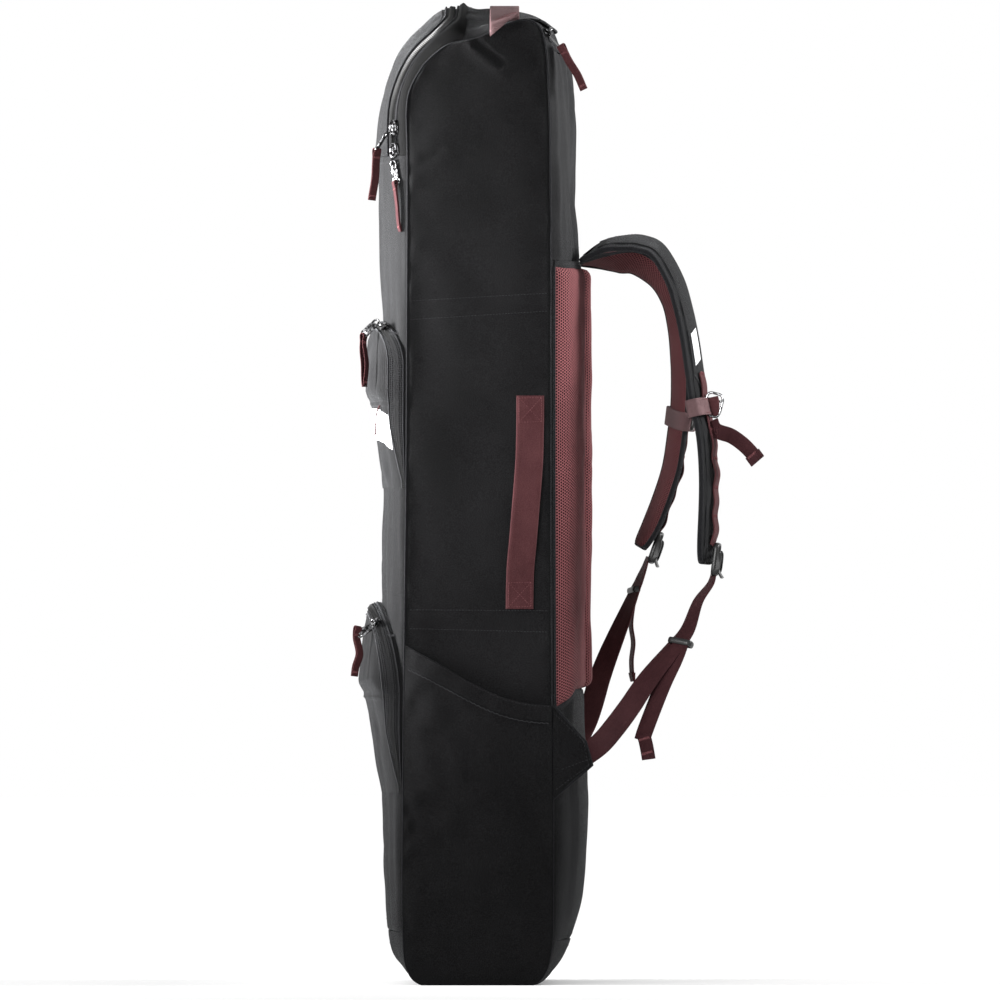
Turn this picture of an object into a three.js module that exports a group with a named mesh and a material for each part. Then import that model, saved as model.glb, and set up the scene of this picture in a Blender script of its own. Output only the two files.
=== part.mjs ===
// A tall backpack-style gear bag for boots and boards, standing on its base.
// Millimetres. +X is the wearer's right side panel, -Y the front with the pockets,
// +Y the back with the harness, +Z up. The origin is the middle of the flat base.
import * as THREE from 'three';

// ---- driving dimensions ------------------------------------------------------------------
const HALF_WIDTH = 145;          // side panel's outer face
const PANEL = 3.7;               // thickness of a padded fabric panel
const GAP = 0.3;                 // clearance between neighbouring pieces
const SHEET = 1.8;               // thickness of a single sewn fabric layer
const GUSSET_HALF = HALF_WIDTH - PANEL - GAP;
const ZIP_X = 121;               // the lid's zip runs this far from the middle plane
const ZIP_TAPE = 3;              // width of one half of the coil
const ZIP_HEIGHT = 2.2;          // how far the coil reaches in from the surface
const WEBBING = 25;              // harness webbing
const WEBBING_THICK = 2;
const SIDE_HANDLE_WIDTH = 31;
const TOP_HANDLE_WIDTH = 33;
const SLEEVE_BULGE = 11;         // how far the side pocket's mouth stands off its panel
const PAD_SEAT = 1.4;            // the mesh pads stand this far off the back panel
const POCKET_SEAT = 0.7;         // the pockets' rims stand this far off the front panel
const POCKET_FACE = POCKET_SEAT + SHEET + GAP;   // where pieces sewn on a pocket lie
const BACK_PAD = 10;             // thickness of the outer mesh pads
const SPINE_PAD = 15;            // thickness of the middle mesh pad
const STRAP_WIDTH = 66;
const STRAP_THICK = 12;
const STRAP_TILT = 0.27;         // radians that the shoulder pads turn outwards
const SLIDER = { length: 15, width: 7.4, height: 3.6 };
const SLIDER_X = ZIP_X + 4.8;    // the sliders park on the fixed half, clear of the lid
const PULLER = { width: 5, thick: 1.6 };

// The bag is lofted between two outlines with matched stations, each [seam y, seam z, crown y,
// crown z]: the seam outline is the side panel's edge, the crown outline the middle of the bag.
const STATIONS = [
  [-62, 0, -56, 0],
  [-79, 15, -83, 20],
  [-84, 60, -101, 60],
  [-84, 215, -107.5, 214],
  [-82, 430, -109, 430],
  [-80.5, 557, -106, 557],
  [-79.5, 745, -106, 745],
  [-79, 852, -112, 852],
  [-79, 930, -113.5, 930],
  [-79, 992, -111, 985],
  [-65, 1025, -92, 1042],
  [-49, 1043, -59, 1080],
  [-31, 1055, -25, 1100],
  [0, 1062, 3, 1097],
  [30, 1076, 47, 1092],
  [56, 1082, 78, 1078],
  [73.5, 1064, 96, 1040],
  [79.5, 1000, 106, 1000],
  [81.4, 885, 108, 885],
  [82, 812, 111, 812],
  [82, 560, 112, 560],
  [83, 325, 112, 330],
  [84, 208, 120, 208],
  [84, 109, 116.5, 109],
  [83, 50, 104, 50],
  [76, 16, 86, 16],
  [62, 0, 62, 0],
];
// Station numbers where one panel is sewn to the next.
const SEAM = {
  frontFoot: 2, lowerPocketFoot: 3, lowerPocketTop: 4, upperPocketFoot: 5, upperPocketTop: 6,
  lidHinge: 8, lidEdge: 12, topBack: 16, padTop: 19, padFoot: 21, backFoot: 24,
};

// ---- materials ---------------------------------------------------------------------------
const material = (color, roughness, metalness = 0) =>
  new THREE.MeshStandardMaterial({ color, roughness, metalness });
const canvas = material(0x1c1c1e, 0.85);
const mesh = material(0x6a4044, 0.9);
const webbing = material(0x5a3034, 0.8);
const loopWebbing = material(0x8f6468, 0.8);
const zip = material(0x303033, 0.5);
const steel = material(0xa8a8ac, 0.3, 0.9);
const plastic = material(0x18181a, 0.5);
const reflective = material(0xd8d8da, 0.4);
const board = material(0x3a3a3a, 0.7);

// ---- solid builders ----------------------------------------------------------------------
const group = new THREE.Group();

function addSolid(name, points, faces, look) {
  let volume = 0;
  for (const [a, b, c] of faces) {
    volume += points[a].dot(new THREE.Vector3().crossVectors(points[b], points[c]));
  }
  const positions = [];
  for (const [a, b, c] of faces) {
    const order = volume > 0 ? [a, b, c] : [a, c, b];
    for (const corner of order) positions.push(...points[corner].toArray());
  }
  const geometry = new THREE.BufferGeometry();
  geometry.setAttribute('position', new THREE.Float32BufferAttribute(positions, 3));
  geometry.computeVertexNormals();
  const piece = new THREE.Mesh(geometry, look);
  piece.name = name;
  group.add(piece);
  return piece;
}

// A sheet of cloth on a grid: outer and inner give its two faces at (u, v), and keep says
// which cells of the grid are cloth.
function addShell(name, look, us, vs, outer, inner, keep = () => true) {
  const rows = us.length;
  const cols = vs.length;
  const points = [];
  for (const face of [outer, inner]) {
    for (const u of us) {
      for (const v of vs) points.push(face(u, v));
    }
  }
  const at = (side, i, j) => (side * rows + i) * cols + j;
  const has = (i, j) => i >= 0 && j >= 0 && i < rows - 1 && j < cols - 1
    && keep((us[i] + us[i + 1]) / 2, (vs[j] + vs[j + 1]) / 2);
  const faces = [];
  const quad = (a, b, c, d) => faces.push([a, b, c], [a, c, d]);
  for (let i = 0; i < rows - 1; i += 1) {
    for (let j = 0; j < cols - 1; j += 1) {
      if (!has(i, j)) continue;
      quad(at(0, i, j), at(0, i + 1, j), at(0, i + 1, j + 1), at(0, i, j + 1));
      quad(at(1, i, j), at(1, i, j + 1), at(1, i + 1, j + 1), at(1, i + 1, j));
      if (!has(i - 1, j)) quad(at(0, i, j), at(0, i, j + 1), at(1, i, j + 1), at(1, i, j));
      if (!has(i + 1, j)) {
        quad(at(0, i + 1, j + 1), at(0, i + 1, j), at(1, i + 1, j), at(1, i + 1, j + 1));
      }
      if (!has(i, j - 1)) quad(at(0, i + 1, j), at(0, i, j), at(1, i, j), at(1, i + 1, j));
      if (!has(i, j + 1)) {
        quad(at(0, i, j + 1), at(0, i + 1, j + 1), at(1, i + 1, j + 1), at(1, i, j + 1));
      }
    }
  }
  return addSolid(name, points, faces, look);
}

// A flat band swept along a list of points; across gives its width direction at each point.
function addRibbon(name, look, path, across, width, thick, steps = path.length * 2) {
  const curve = new THREE.CatmullRomCurve3(path.map((p) => new THREE.Vector3(...p)), false,
    'centripetal');
  const points = [];
  for (let i = 0; i <= steps; i += 1) {
    const t = i / steps;
    const centre = curve.getPointAt(t);
    const along = curve.getTangentAt(t);
    const side = across(t).clone();
    side.addScaledVector(along, -side.dot(along)).normalize();
    const normal = new THREE.Vector3().crossVectors(along, side);
    for (const [a, b] of [[-1, -1], [1, -1], [1, 1], [-1, 1]]) {
      points.push(centre.clone().addScaledVector(side, (a * width) / 2)
        .addScaledVector(normal, (b * thick) / 2));
    }
  }
  const faces = [[0, 2, 1], [0, 3, 2]];
  for (let i = 0; i < steps; i += 1) {
    for (let k = 0; k < 4; k += 1) {
      const a = i * 4 + k;
      const b = i * 4 + ((k + 1) % 4);
      faces.push([a, b, b + 4], [a, b + 4, a + 4]);
    }
  }
  const last = steps * 4;
  faces.push([last, last + 1, last + 2], [last, last + 2, last + 3]);
  return addSolid(name, points, faces, look);
}

// A plate with its outline in the YZ plane, from x = low to x = high.
function addPlate(name, look, outline, low, high) {
  const shape = new THREE.Shape(outline.map(([y, z]) => new THREE.Vector2(y, z)));
  const geometry = new THREE.ExtrudeGeometry(shape, { depth: high - low, bevelEnabled: false });
  geometry.applyMatrix4(new THREE.Matrix4().set(0, 0, 1, low, 1, 0, 0, 0, 0, 1, 0, 0, 0, 0, 0, 1));
  const piece = new THREE.Mesh(geometry, look);
  piece.name = name;
  group.add(piece);
  return piece;
}

// ---- the lofted body ---------------------------------------------------------------------
const loop = (pick) => new THREE.CatmullRomCurve3(STATIONS.map(pick), true, 'catmullrom', 0.5);
const seamCurve = loop(([y, z]) => new THREE.Vector3(0, y, z));
const crownCurve = loop(([, , y, z]) => new THREE.Vector3(0, y, z));
const turn = (s) => (((s / STATIONS.length) % 1) + 1) % 1;

// How much of the crown a line at x has: 1 in the middle, 0 at the side seams.
function crownShare(x) {
  const r = Math.min(1, Math.abs(x) / GUSSET_HALF);
  return (1 - r ** 2.2) ** 0.6;
}

function onBody(s, x) {
  const seam = seamCurve.getPoint(turn(s));
  const point = seam.lerp(crownCurve.getPoint(turn(s)), crownShare(x));
  return new THREE.Vector3(x, point.y, Math.max(0, point.z));
}

// The surface at station s and width x, moved outwards (or inwards, below 0) by lift.
function lifted(s, x, lift) {
  const along = onBody(s + 0.02, x).sub(onBody(s - 0.02, x)).normalize();
  return onBody(s, x).add(new THREE.Vector3(0, -along.z * lift, along.y * lift));
}

const range = (a, b, n) => Array.from({ length: n + 1 }, (_, i) => a + ((b - a) * i) / n);

// Two seam stations drawn in by the clearance between sewn panels.
function between(from, to, steps) {
  const pitch = (s) => onBody(s + 0.05, GUSSET_HALF).distanceTo(onBody(s - 0.05, GUSSET_HALF)) * 10;
  const inset = 0.7 * GAP;
  return range(from + inset / pitch(from), to - inset / pitch(to), steps);
}

// Widths across the bag where the lid, the two halves of its zip and the gusset begin and end.
const LID_EDGE = ZIP_X - ZIP_TAPE - GAP - 0.2;
const MOVING_COIL = [LID_EDGE + GAP, ZIP_X - 0.2];
const FIXED_COIL = [ZIP_X + 0.2, ZIP_X + 0.2 + ZIP_TAPE];
const GUSSET_EDGE = FIXED_COIL[1] + GAP;
const mirrored = (half) => half.slice(1).map((x) => -x).reverse().concat(half);
const FULL_WIDTH = mirrored([0, 58, 96, LID_EDGE, GUSSET_EDGE, 134, GUSSET_HALF]);
const LID_WIDTH = mirrored([0, 58, 96, LID_EDGE, ...MOVING_COIL, ...FIXED_COIL, GUSSET_EDGE, 134,
  GUSSET_HALF]);

function addBodyPanel(name, from, to, steps, columns = FULL_WIDTH) {
  const outer = (s, x) => lifted(s, x, 0);
  const inner = (s, x) => lifted(s, x, -PANEL);
  addShell(name, canvas, between(from, to, steps), columns, outer, inner);
}

function addSidePanels() {
  const outline = range(0, STATIONS.length, 2 * STATIONS.length).slice(0, -1)
    .map((s) => onBody(s, GUSSET_HALF))
    .map((p) => [p.y, p.z]);
  addPlate('side_panel_right', canvas, outline, HALF_WIDTH - PANEL, HALF_WIDTH);
  addPlate('side_panel_left', canvas, outline, -HALF_WIDTH, PANEL - HALF_WIDTH);
}

function addPanels() {
  addBodyPanel('front_panel', SEAM.frontFoot, SEAM.lidHinge, 9);
  addBodyPanel('back_upper_panel', SEAM.topBack, SEAM.padTop, 5, LID_WIDTH);
  addBodyPanel('back_middle_panel', SEAM.padTop, SEAM.padFoot, 2);
  addBodyPanel('back_lower_panel', SEAM.padFoot, SEAM.backFoot, 4);
  addBodyPanel('base_panel', SEAM.backFoot, SEAM.frontFoot + STATIONS.length, 15);
}

// ---- lid, its zip, and the U-shaped gusset around it ---------------------------------------
function addLid() {
  const pitch = onBody(SEAM.lidEdge, 0).distanceTo(onBody(SEAM.lidEdge - 0.1, 0)) * 10;
  const back = (mm) => SEAM.lidEdge - mm / pitch;
  const edge = { fabric: back(7.1), movingIn: back(6.8), movingOut: back(3.8), fixedIn: back(3.4),
    fixedOut: back(0.4), gusset: back(0.1) };
  const rows = between(SEAM.lidHinge, SEAM.lidEdge - 0.35, 8)
    .concat([edge.fabric, edge.movingIn, edge.movingOut, edge.fixedIn, edge.fixedOut, edge.gusset]);
  const topRows = between(SEAM.lidEdge, SEAM.topBack, 7).slice(1);
  const outer = (s, x) => lifted(s, x, 0);
  const inner = (s, x) => lifted(s, x, -PANEL);
  const coil = (s, x) => lifted(s, x, -ZIP_HEIGHT);
  const within = (s, x, sEdge, xEdge) => s < sEdge && Math.abs(x) < xEdge;
  addShell('top_flap', canvas, rows, LID_WIDTH, outer, inner,
    (s, x) => within(s, x, edge.fabric, LID_EDGE));
  addShell('main_zip_moving', zip, rows, LID_WIDTH, outer, coil, (s, x) =>
    within(s, x, edge.movingOut, MOVING_COIL[1]) && !within(s, x, edge.movingIn, MOVING_COIL[0]));
  addShell('main_zip_fixed', zip, rows, LID_WIDTH, outer, coil, (s, x) =>
    within(s, x, edge.fixedOut, FIXED_COIL[1]) && !within(s, x, edge.fixedIn, FIXED_COIL[0]));
  addShell('top_gusset', canvas, rows.concat(topRows), LID_WIDTH, outer, inner,
    (s, x) => !within(s, x, edge.gusset, GUSSET_EDGE));
}

// ---- stiffeners inside -------------------------------------------------------------------
function addBoards() {
  const outline = [[-52, 4.2], [56, 4.2], [56, 7.2], [-52, 7.2]];
  addPlate('base_board', board, outline, -128, 128);
  const rows = range(SEAM.padTop + 0.05, SEAM.padFoot - 0.05, 4);
  const columns = range(-118, 118, 6);
  addShell('back_board', board, rows, columns, (s, x) => lifted(s, x, -PANEL - 1),
    (s, x) => lifted(s, x, -PANEL - 3.5));
}

// ---- mesh back pads ------------------------------------------------------------------------
function addBackPads() {
  const rows = range(SEAM.padTop + 0.07, SEAM.padFoot - 0.03, 6);
  const pad = (name, low, high, thick) => {
    const columns = range(low, high, 4);
    const crown = (s, x) => {
      const across = 1 - Math.abs((2 * (x - low)) / (high - low) - 1) ** 4;
      const r = (2 * (s - rows[0])) / (rows[6] - rows[0]) - 1;
      return PAD_SEAT + 2 + (thick - 2) * Math.sqrt(Math.max(0, across * (1 - Math.abs(r) ** 12)));
    };
    addShell(name, mesh, rows, columns, (s, x) => lifted(s, x, crown(s, x)),
      (s, x) => lifted(s, x, PAD_SEAT));
  };
  pad('back_pad_right', 42, 134, BACK_PAD);
  pad('back_pad_centre', -40, 40, SPINE_PAD);
  pad('back_pad_left', -134, -42, BACK_PAD);
}

// ---- front pockets -------------------------------------------------------------------------
// depth lists how far the pocket's crown stands off the body, from foot (0) to top (1).
const UPPER_DEPTH = [[0, 0], [0.15, 4], [0.29, 8], [0.48, 13], [0.585, 18], [0.75, 17], [0.88, 13],
  [0.96, 6], [1, 0]];
const LOWER_DEPTH = [[0, 0], [0.12, 5], [0.28, 9], [0.42, 13], [0.58, 22], [0.7, 20], [0.82, 17],
  [0.93, 12], [0.98, 6], [1, 0]];

function depthAt(table, f) {
  for (let i = 1; i < table.length; i += 1) {
    const [f0, d0] = table[i - 1];
    const [f1, d1] = table[i];
    if (f <= f1) return d0 + ((d1 - d0) * (f - f0)) / (f1 - f0);
  }
  return 0;
}

function addPocket(name, foot, top, table) {
  const stand = (s, x) => depthAt(table, (s - foot) / (top - foot))
    * Math.sqrt(Math.max(0, 1 - (Math.abs(x) / GUSSET_HALF) ** 5));
  const rows = table.map(([f]) => foot + f * (top - foot));
  addShell(name, canvas, rows, FULL_WIDTH,
    (s, x) => lifted(s, x, POCKET_SEAT + SHEET + stand(s, x)),
    (s, x) => lifted(s, x, POCKET_SEAT + Math.max(0, stand(s, x) - 1)));
  return { stand, rows };
}

function addPocketZip(name, pocket, firstRow) {
  const onTop = (extra) => (s, x) => lifted(s, x, POCKET_FACE + pocket.stand(s, x) + extra);
  const columns = FULL_WIDTH.filter((x) => Math.abs(x) < GUSSET_HALF);
  const last = pocket.rows.length - 1;
  const split = pocket.rows[last - 1];
  addShell(name, zip, pocket.rows.slice(firstRow, last + 1), columns, onTop(1.4), onTop(0),
    (s, x) => Math.abs(x) > GUSSET_EDGE || s > split);
}

function addPockets() {
  const upper = addPocket('upper_pocket', SEAM.upperPocketFoot, SEAM.upperPocketTop, UPPER_DEPTH);
  addPocketZip('upper_pocket_zip', upper, 4);
  const lower = addPocket('lower_pocket', SEAM.lowerPocketFoot, SEAM.lowerPocketTop, LOWER_DEPTH);
  addPocketZip('lower_pocket_zip', lower, 2);
  const onUpper = (extra) => (s, x) => lifted(s, x, POCKET_FACE + upper.stand(s, x) + extra);
  addShell('reflective_patch', reflective, upper.rows.slice(2, 4),
    FULL_WIDTH.filter((x) => Math.abs(x) <= LID_EDGE),
    onUpper(0.8), onUpper(0));
}

// ---- side sleeves and strap wings ------------------------------------------------------------
function addSleeve(name, side) {
  const columns = range(-1, 1, 8);
  const rows = range(0, 1, 8);
  const bulge = (u, v) => SLEEVE_BULGE * (1 - v ** 4) * Math.sin((Math.PI / 2) * u ** 0.8);
  const face = (lift) => (u, v) => {
    const y = 81 * v;
    const top = 348.5 - 32.5 * v;
    return new THREE.Vector3(side * (HALF_WIDTH + GAP + lift(u, v)), y, 24 + (top - 24) * u);
  };
  addShell(name, canvas, rows, columns, face((u, v) => SHEET + bulge(u, v)),
    face((u, v) => Math.max(0, bulge(u, v) - 1)));
}

function addSleevesAndWings() {
  const wing = [[84.8, 314], [88.5, 313], [118.5, 268], [128.5, 249], [84.8, 210]];
  addSleeve('side_pocket_right', 1);
  addSleeve('side_pocket_left', -1);
  addPlate('strap_wing_right', canvas, wing, HALF_WIDTH - 3.4, HALF_WIDTH - 0.4);
  addPlate('strap_wing_left', canvas, wing, 0.4 - HALF_WIDTH, 3.4 - HALF_WIDTH);
}

// ---- carry handles -----------------------------------------------------------------------------
const constant = (x, y, z) => () => new THREE.Vector3(x, y, z);

function addSideHandle() {
  const sewn = HALF_WIDTH + GAP + 1.2;
  const proud = HALF_WIDTH + 9;
  const band = (name, path) =>
    addRibbon(name, webbing, path, constant(0, 1, 0.04), SIDE_HANDLE_WIDTH, 2.4);
  band('side_handle_top_end', [[sewn, 58.5, 661], [sewn, 58.5, 645], [sewn, 58.4, 629]]);
  band('side_handle_grip', [[sewn + 0.6, 58.4, 628.2], [sewn + 5, 58, 612], [proud, 57, 585],
    [proud, 53, 535], [proud, 49.5, 495], [sewn + 5, 47.5, 470], [sewn + 0.6, 47, 454.8]]);
  band('side_handle_bottom_end', [[sewn, 47, 454], [sewn, 46.7, 440], [sewn, 46.5, 422]]);
}

function addTopHandle() {
  const middle = 29.7;
  const s = SEAM.lidEdge + 1.8;
  const over = (x, lift) => {
    const p = lifted(s, x, lift + GAP + 1.2);
    return [x, middle, p.z + 2];
  };
  const band = (name, path) =>
    addRibbon(name, webbing, path, constant(0, 1, 0), TOP_HANDLE_WIDTH, 2.4, path.length * 2);
  band('top_handle_right_end', [over(138, 3), over(130, 2.6), over(118, 2.4)]);
  band('top_handle_left_end', [over(-138, 3), over(-130, 2.6), over(-118, 2.4)]);
  band('top_handle_grip', [over(117, 3.2), over(95, 4), over(55, 4), over(0, 4), over(-55, 4),
    over(-95, 4), over(-117, 3.2)]);
}

// ---- zip sliders and pulls -----------------------------------------------------------------------
// A slider is a tapered plate that lies on the coil at station s and width x.
function addSlider(name, s, x, lift, across = false) {
  const at = (ds, dx) => lifted(s + ds, x + dx, lift);
  const up = at(0.01, 0).sub(at(-0.01, 0)).normalize();
  const over = at(0, 0.5).sub(at(0, -0.5)).normalize();
  const normal = new THREE.Vector3().crossVectors(over, up).normalize();
  const along = across ? over : up;
  const side = new THREE.Vector3().crossVectors(normal, along).normalize();
  const centre = at(0, 0);
  const { length, width, height } = SLIDER;
  const outline = [[-0.5, 0.32], [0.5, 0.5], [0.5, -0.5], [-0.5, -0.32]];
  const points = [];
  for (const h of [0.4, height]) {
    for (const [a, b] of outline) {
      points.push(centre.clone().addScaledVector(along, a * length)
        .addScaledVector(side, b * width).addScaledVector(normal, h));
    }
  }
  const faces = [[0, 1, 2], [0, 2, 3], [4, 6, 5], [4, 7, 6]];
  for (let k = 0; k < 4; k += 1) {
    const n = (k + 1) % 4;
    faces.push([k, k + 4, n], [n, k + 4, n + 4]);
  }
  addSolid(name, points, faces, steel);
}

// A metal puller from the slider, and the webbing loop knotted through its end.
function addPull(puller, pullLoop, path, end, across, width) {
  const side = constant(...across);
  if (puller) addRibbon(puller, steel, path, side, PULLER.width, PULLER.thick, 2);
  const last = new THREE.Vector3(...path[path.length - 1]);
  const tip = new THREE.Vector3(...end[0]);
  const start = last.clone().lerp(tip, 1.6 / last.distanceTo(tip));
  addRibbon(pullLoop, webbing, [start.toArray(), ...end], side, width, 2.2);
}

function addZipHardware() {
  addSlider('main_slider_a', SEAM.lidHinge + 0.5, SLIDER_X, 0);
  addPull('main_puller_a', 'main_pull_loop_a', [[126, -103.5, 954], [127, -113, 938]],
    [[127, -114.5, 920], [127, -119, 880]], [0.9, -0.35, 0], 9.5);
  addSlider('main_slider_b', SEAM.lidHinge + 0.09, SLIDER_X, 0);
  addPull('main_puller_b', 'main_pull_loop_b', [[134, -95, 922], [137, -91.5, 902]],
    [[138, -91, 880], [138, -88, 845]], [0.5, 0.85, 0], 9.5);
  addSlider('upper_pocket_slider', SEAM.upperPocketTop - 0.02, 108, POCKET_FACE + 6.5, true);
  addPull('upper_pocket_puller', 'upper_pocket_pull_loop', [[104, -116, 744], [107, -126, 730]],
    [[108, -128, 715], [108, -128, 671]], [0, 1, 0], 9);
  addSlider('lower_pocket_slider', SEAM.lowerPocketTop - 0.085, 108, POCKET_FACE + 13, true);
  addPull('lower_pocket_puller', 'lower_pocket_pull_loop', [[104, -125, 401], [107, -134, 391]],
    [[108, -137, 384], [108, -137.5, 344]], [0, 1, 0], 9);
  addSlider('back_zip_slider', SEAM.topBack - 0.25, 134, 0);
  addPull(null, 'back_zip_pull_loop', [[137, 93, 1053]], [[137, 103, 1034], [137, 119, 1004]],
    [0.9, 0.35, 0], 9.5);
}

// ---- harness ---------------------------------------------------------------------------------
// Centre lines of the two shoulder pads seen from the side, [y, z] from the yoke down.
const RIGHT_STRAP = [[118, 815], [143, 825], [166, 828], [183, 828], [202, 819], [221, 789],
  [231, 758], [238, 724], [243, 690], [248, 655], [256, 615], [259, 570], [258, 520], [255, 474]];
const LEFT_STRAP = [[118, 813], [145, 815], [165, 815], [184, 811], [207, 794], [221, 770],
  [227, 740], [229, 705], [229, 655], [225, 618], [219, 580], [208, 545], [196, 515], [184, 492]];

// The pads start close together at the yoke and spread as they go down.
const strapX = (f) => 50 + 40 * Math.sin((Math.PI / 2) * f) ** 1.3;
const tiltSide = (side) => constant(Math.cos(STRAP_TILT), side * -Math.sin(STRAP_TILT), 0);

function strapPath(outline, side) {
  return outline.map(([y, z], i) => [side * strapX(i / (outline.length - 1)), y, z]);
}

function addYoke() {
  addShell('strap_yoke', canvas, range(SEAM.padTop, SEAM.padTop + 0.055, 1), range(-104, 104, 6),
    (s, x) => lifted(s, x, PAD_SEAT + 3), (s, x) => lifted(s, x, PAD_SEAT));
}

// The band of the sternum strap lies across the pad's outer face.
function addSternum(name, centre, side, tilt) {
  const across = new THREE.Vector3(Math.cos(tilt), side * -Math.sin(tilt), 0);
  const out = new THREE.Vector3(side * Math.sin(tilt), Math.cos(tilt), 0);
  const middle = new THREE.Vector3(...centre).addScaledVector(out, STRAP_THICK / 2 + 3);
  const reach = STRAP_WIDTH / 2 + 2;
  const path = [-1, 0, 1].map((k) => middle.clone().addScaledVector(across, k * reach).toArray());
  addRibbon(name, loopWebbing, path, constant(0, -0.15, 1), 19, 2);
}

function addHarness() {
  addYoke();
  addRibbon('shoulder_pad_right', canvas, strapPath(RIGHT_STRAP, 1), tiltSide(1), STRAP_WIDTH,
    STRAP_THICK, 26);
  addRibbon('shoulder_pad_left', canvas, strapPath(LEFT_STRAP, -1), tiltSide(-1), STRAP_WIDTH,
    STRAP_THICK, 26);
  addSternum('sternum_loop_right', [86, 249.5, 647], 1, STRAP_TILT);
  addRibbon('sternum_tail_right', webbing, [[92, 268, 622], [94, 284, 617], [96, 298, 609],
    [97, 314, 588]], constant(0.4, 0, 1), 18, 2);
  addSternum('sternum_loop_left', [-85, 228, 640], -1, STRAP_TILT);
  addRibbon('sternum_hook_left', plastic, [[-44, 246, 636], [-38, 247, 632], [-32, 244, 628]],
    constant(0, 0, 1), 18, 3);
}

function addLadderLock(name, x, y, z, lean) {
  addRibbon(name, plastic, [[x, y, z], [x, y - lean * 18, z - 18], [x, y - lean * 38, z - 38]],
    constant(1, 0, 0), 32, 5, 3);
}

function addLowerHarness() {
  const inPlane = constant(0, 0.78, -0.62);
  const band = (name, path, across = inPlane) =>
    addRibbon(name, webbing, path, across, WEBBING, WEBBING_THICK);
  addLadderLock('ladder_lock_right', 92, 270.5, 495, 0.05);
  band('harness_webbing_right', [[92, 262, 452], [97, 247, 430], [103, 235, 398], [108, 219, 377],
    [115, 193, 346]], constant(-0.35, 0.7, -0.5));
  band('anchor_webbing_right', [[117, 188.5, 340], [125, 170, 312], [134, 153, 287],
    [141, 137, 269]]);
  addRibbon('webbing_tail_right', webbing, [[116, 224, 360], [118, 208, 335], [119, 192, 298],
    [119, 184, 276], [119, 192, 250]], constant(0.5, 0.75, -0.3), 18, WEBBING_THICK);
  addLadderLock('ladder_lock_left', -92, 205.5, 506, 0.35);
  band('harness_webbing_left', [[-92, 186, 462], [-98, 177, 440], [-104, 168, 418],
    [-112, 155, 387]], constant(0.35, 0.8, -0.4));
  band('anchor_webbing_left', [[-114, 152, 379], [-122, 142, 352], [-131, 134, 326],
    [-141, 134, 284]]);
  addRibbon('webbing_tail_left', webbing, [[-117, 176, 430], [-119, 173, 403], [-120, 174, 362],
    [-120, 174, 338]], constant(0.9, 0.2, 0), 18, WEBBING_THICK);
}

addSidePanels();
addPanels();
addLid();
addBoards();
addBackPads();
addPockets();
addSleevesAndWings();
addSideHandle();
addTopHandle();
addZipHardware();
addHarness();
addLowerHarness();

export default group;
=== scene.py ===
"""A tall backpack for skis or a board, dressed in cloth, webbing and zips round its CAD frame."""
import bmesh
import bpy
import numpy as np
from math import pi, sqrt
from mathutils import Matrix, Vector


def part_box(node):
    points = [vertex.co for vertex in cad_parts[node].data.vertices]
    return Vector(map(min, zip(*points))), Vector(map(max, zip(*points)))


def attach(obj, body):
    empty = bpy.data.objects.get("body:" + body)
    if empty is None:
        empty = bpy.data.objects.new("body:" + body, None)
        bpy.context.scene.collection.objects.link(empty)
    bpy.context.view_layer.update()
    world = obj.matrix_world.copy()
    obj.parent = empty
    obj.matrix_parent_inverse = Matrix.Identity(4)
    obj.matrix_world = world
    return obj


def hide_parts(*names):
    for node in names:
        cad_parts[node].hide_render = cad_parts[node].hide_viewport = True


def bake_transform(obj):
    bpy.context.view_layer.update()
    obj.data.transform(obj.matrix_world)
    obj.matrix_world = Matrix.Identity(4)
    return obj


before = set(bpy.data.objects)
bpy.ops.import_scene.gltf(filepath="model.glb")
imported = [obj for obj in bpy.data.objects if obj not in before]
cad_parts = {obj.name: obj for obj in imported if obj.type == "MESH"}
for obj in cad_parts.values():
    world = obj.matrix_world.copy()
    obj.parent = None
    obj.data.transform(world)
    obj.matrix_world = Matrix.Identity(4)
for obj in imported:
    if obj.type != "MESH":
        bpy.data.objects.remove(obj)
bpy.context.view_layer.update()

# ---- driving sizes, in millimetres --------------------------------------------------------------
HALF_WIDTH = 145.0        # outer face of the side panels
GUSSET = 143.6            # where the gusset meets the side panel's rolled edge
CLOTH = 2.4               # thickness of a padded panel
STITCH_LIFT = 0.25        # how far a row of thread lies off the cloth
ZIP_X = 121.0             # the lid's zip, measured from the middle plane
SIDE_STITCH_ROWS = [(767, 776), (746, 756), (421, 420), (400, 396)]   # z at front and at back

# Outlines of the bag at matched stations: [seam y, seam z, crown y, crown z].
STATIONS = np.array([
    [-60, 0, -64, 0], [-78, 15, -84, 20], [-84, 60, -101, 60], [-84, 215, -107.5, 214],
    [-82, 430, -109, 430], [-80.5, 557, -106, 557], [-79.5, 745, -106, 745],
    [-79, 852, -112, 852], [-79, 930, -113.5, 930], [-79, 992, -111, 985],
    [-65, 1025, -92, 1042], [-49, 1043, -59, 1080], [-31, 1055, -25, 1100], [0, 1062, 3, 1097],
    [30, 1076, 47, 1092], [56, 1082, 78, 1078], [73.5, 1064, 96, 1040], [79.5, 1000, 106, 1000],
    [81.4, 885, 108, 885], [82, 812, 111, 812], [82, 560, 112, 560], [83, 325, 112, 330],
    [84, 208, 120, 208], [84, 109, 116.5, 109], [83, 50, 104, 50], [76, 16, 86, 16],
    [60, 0, 64, 0]], float)
BASE_TURN = 0.2           # the flat base bends the corners beside it only this much
# Stations where one panel ends and the next begins.
FRONT_FOOT, LID_HINGE, LID_TOP, TOP_BACK = 2, 8, 12, 16
PAD_TOP, PAD_FOOT, BACK_FOOT = 19, 21, 24


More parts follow.
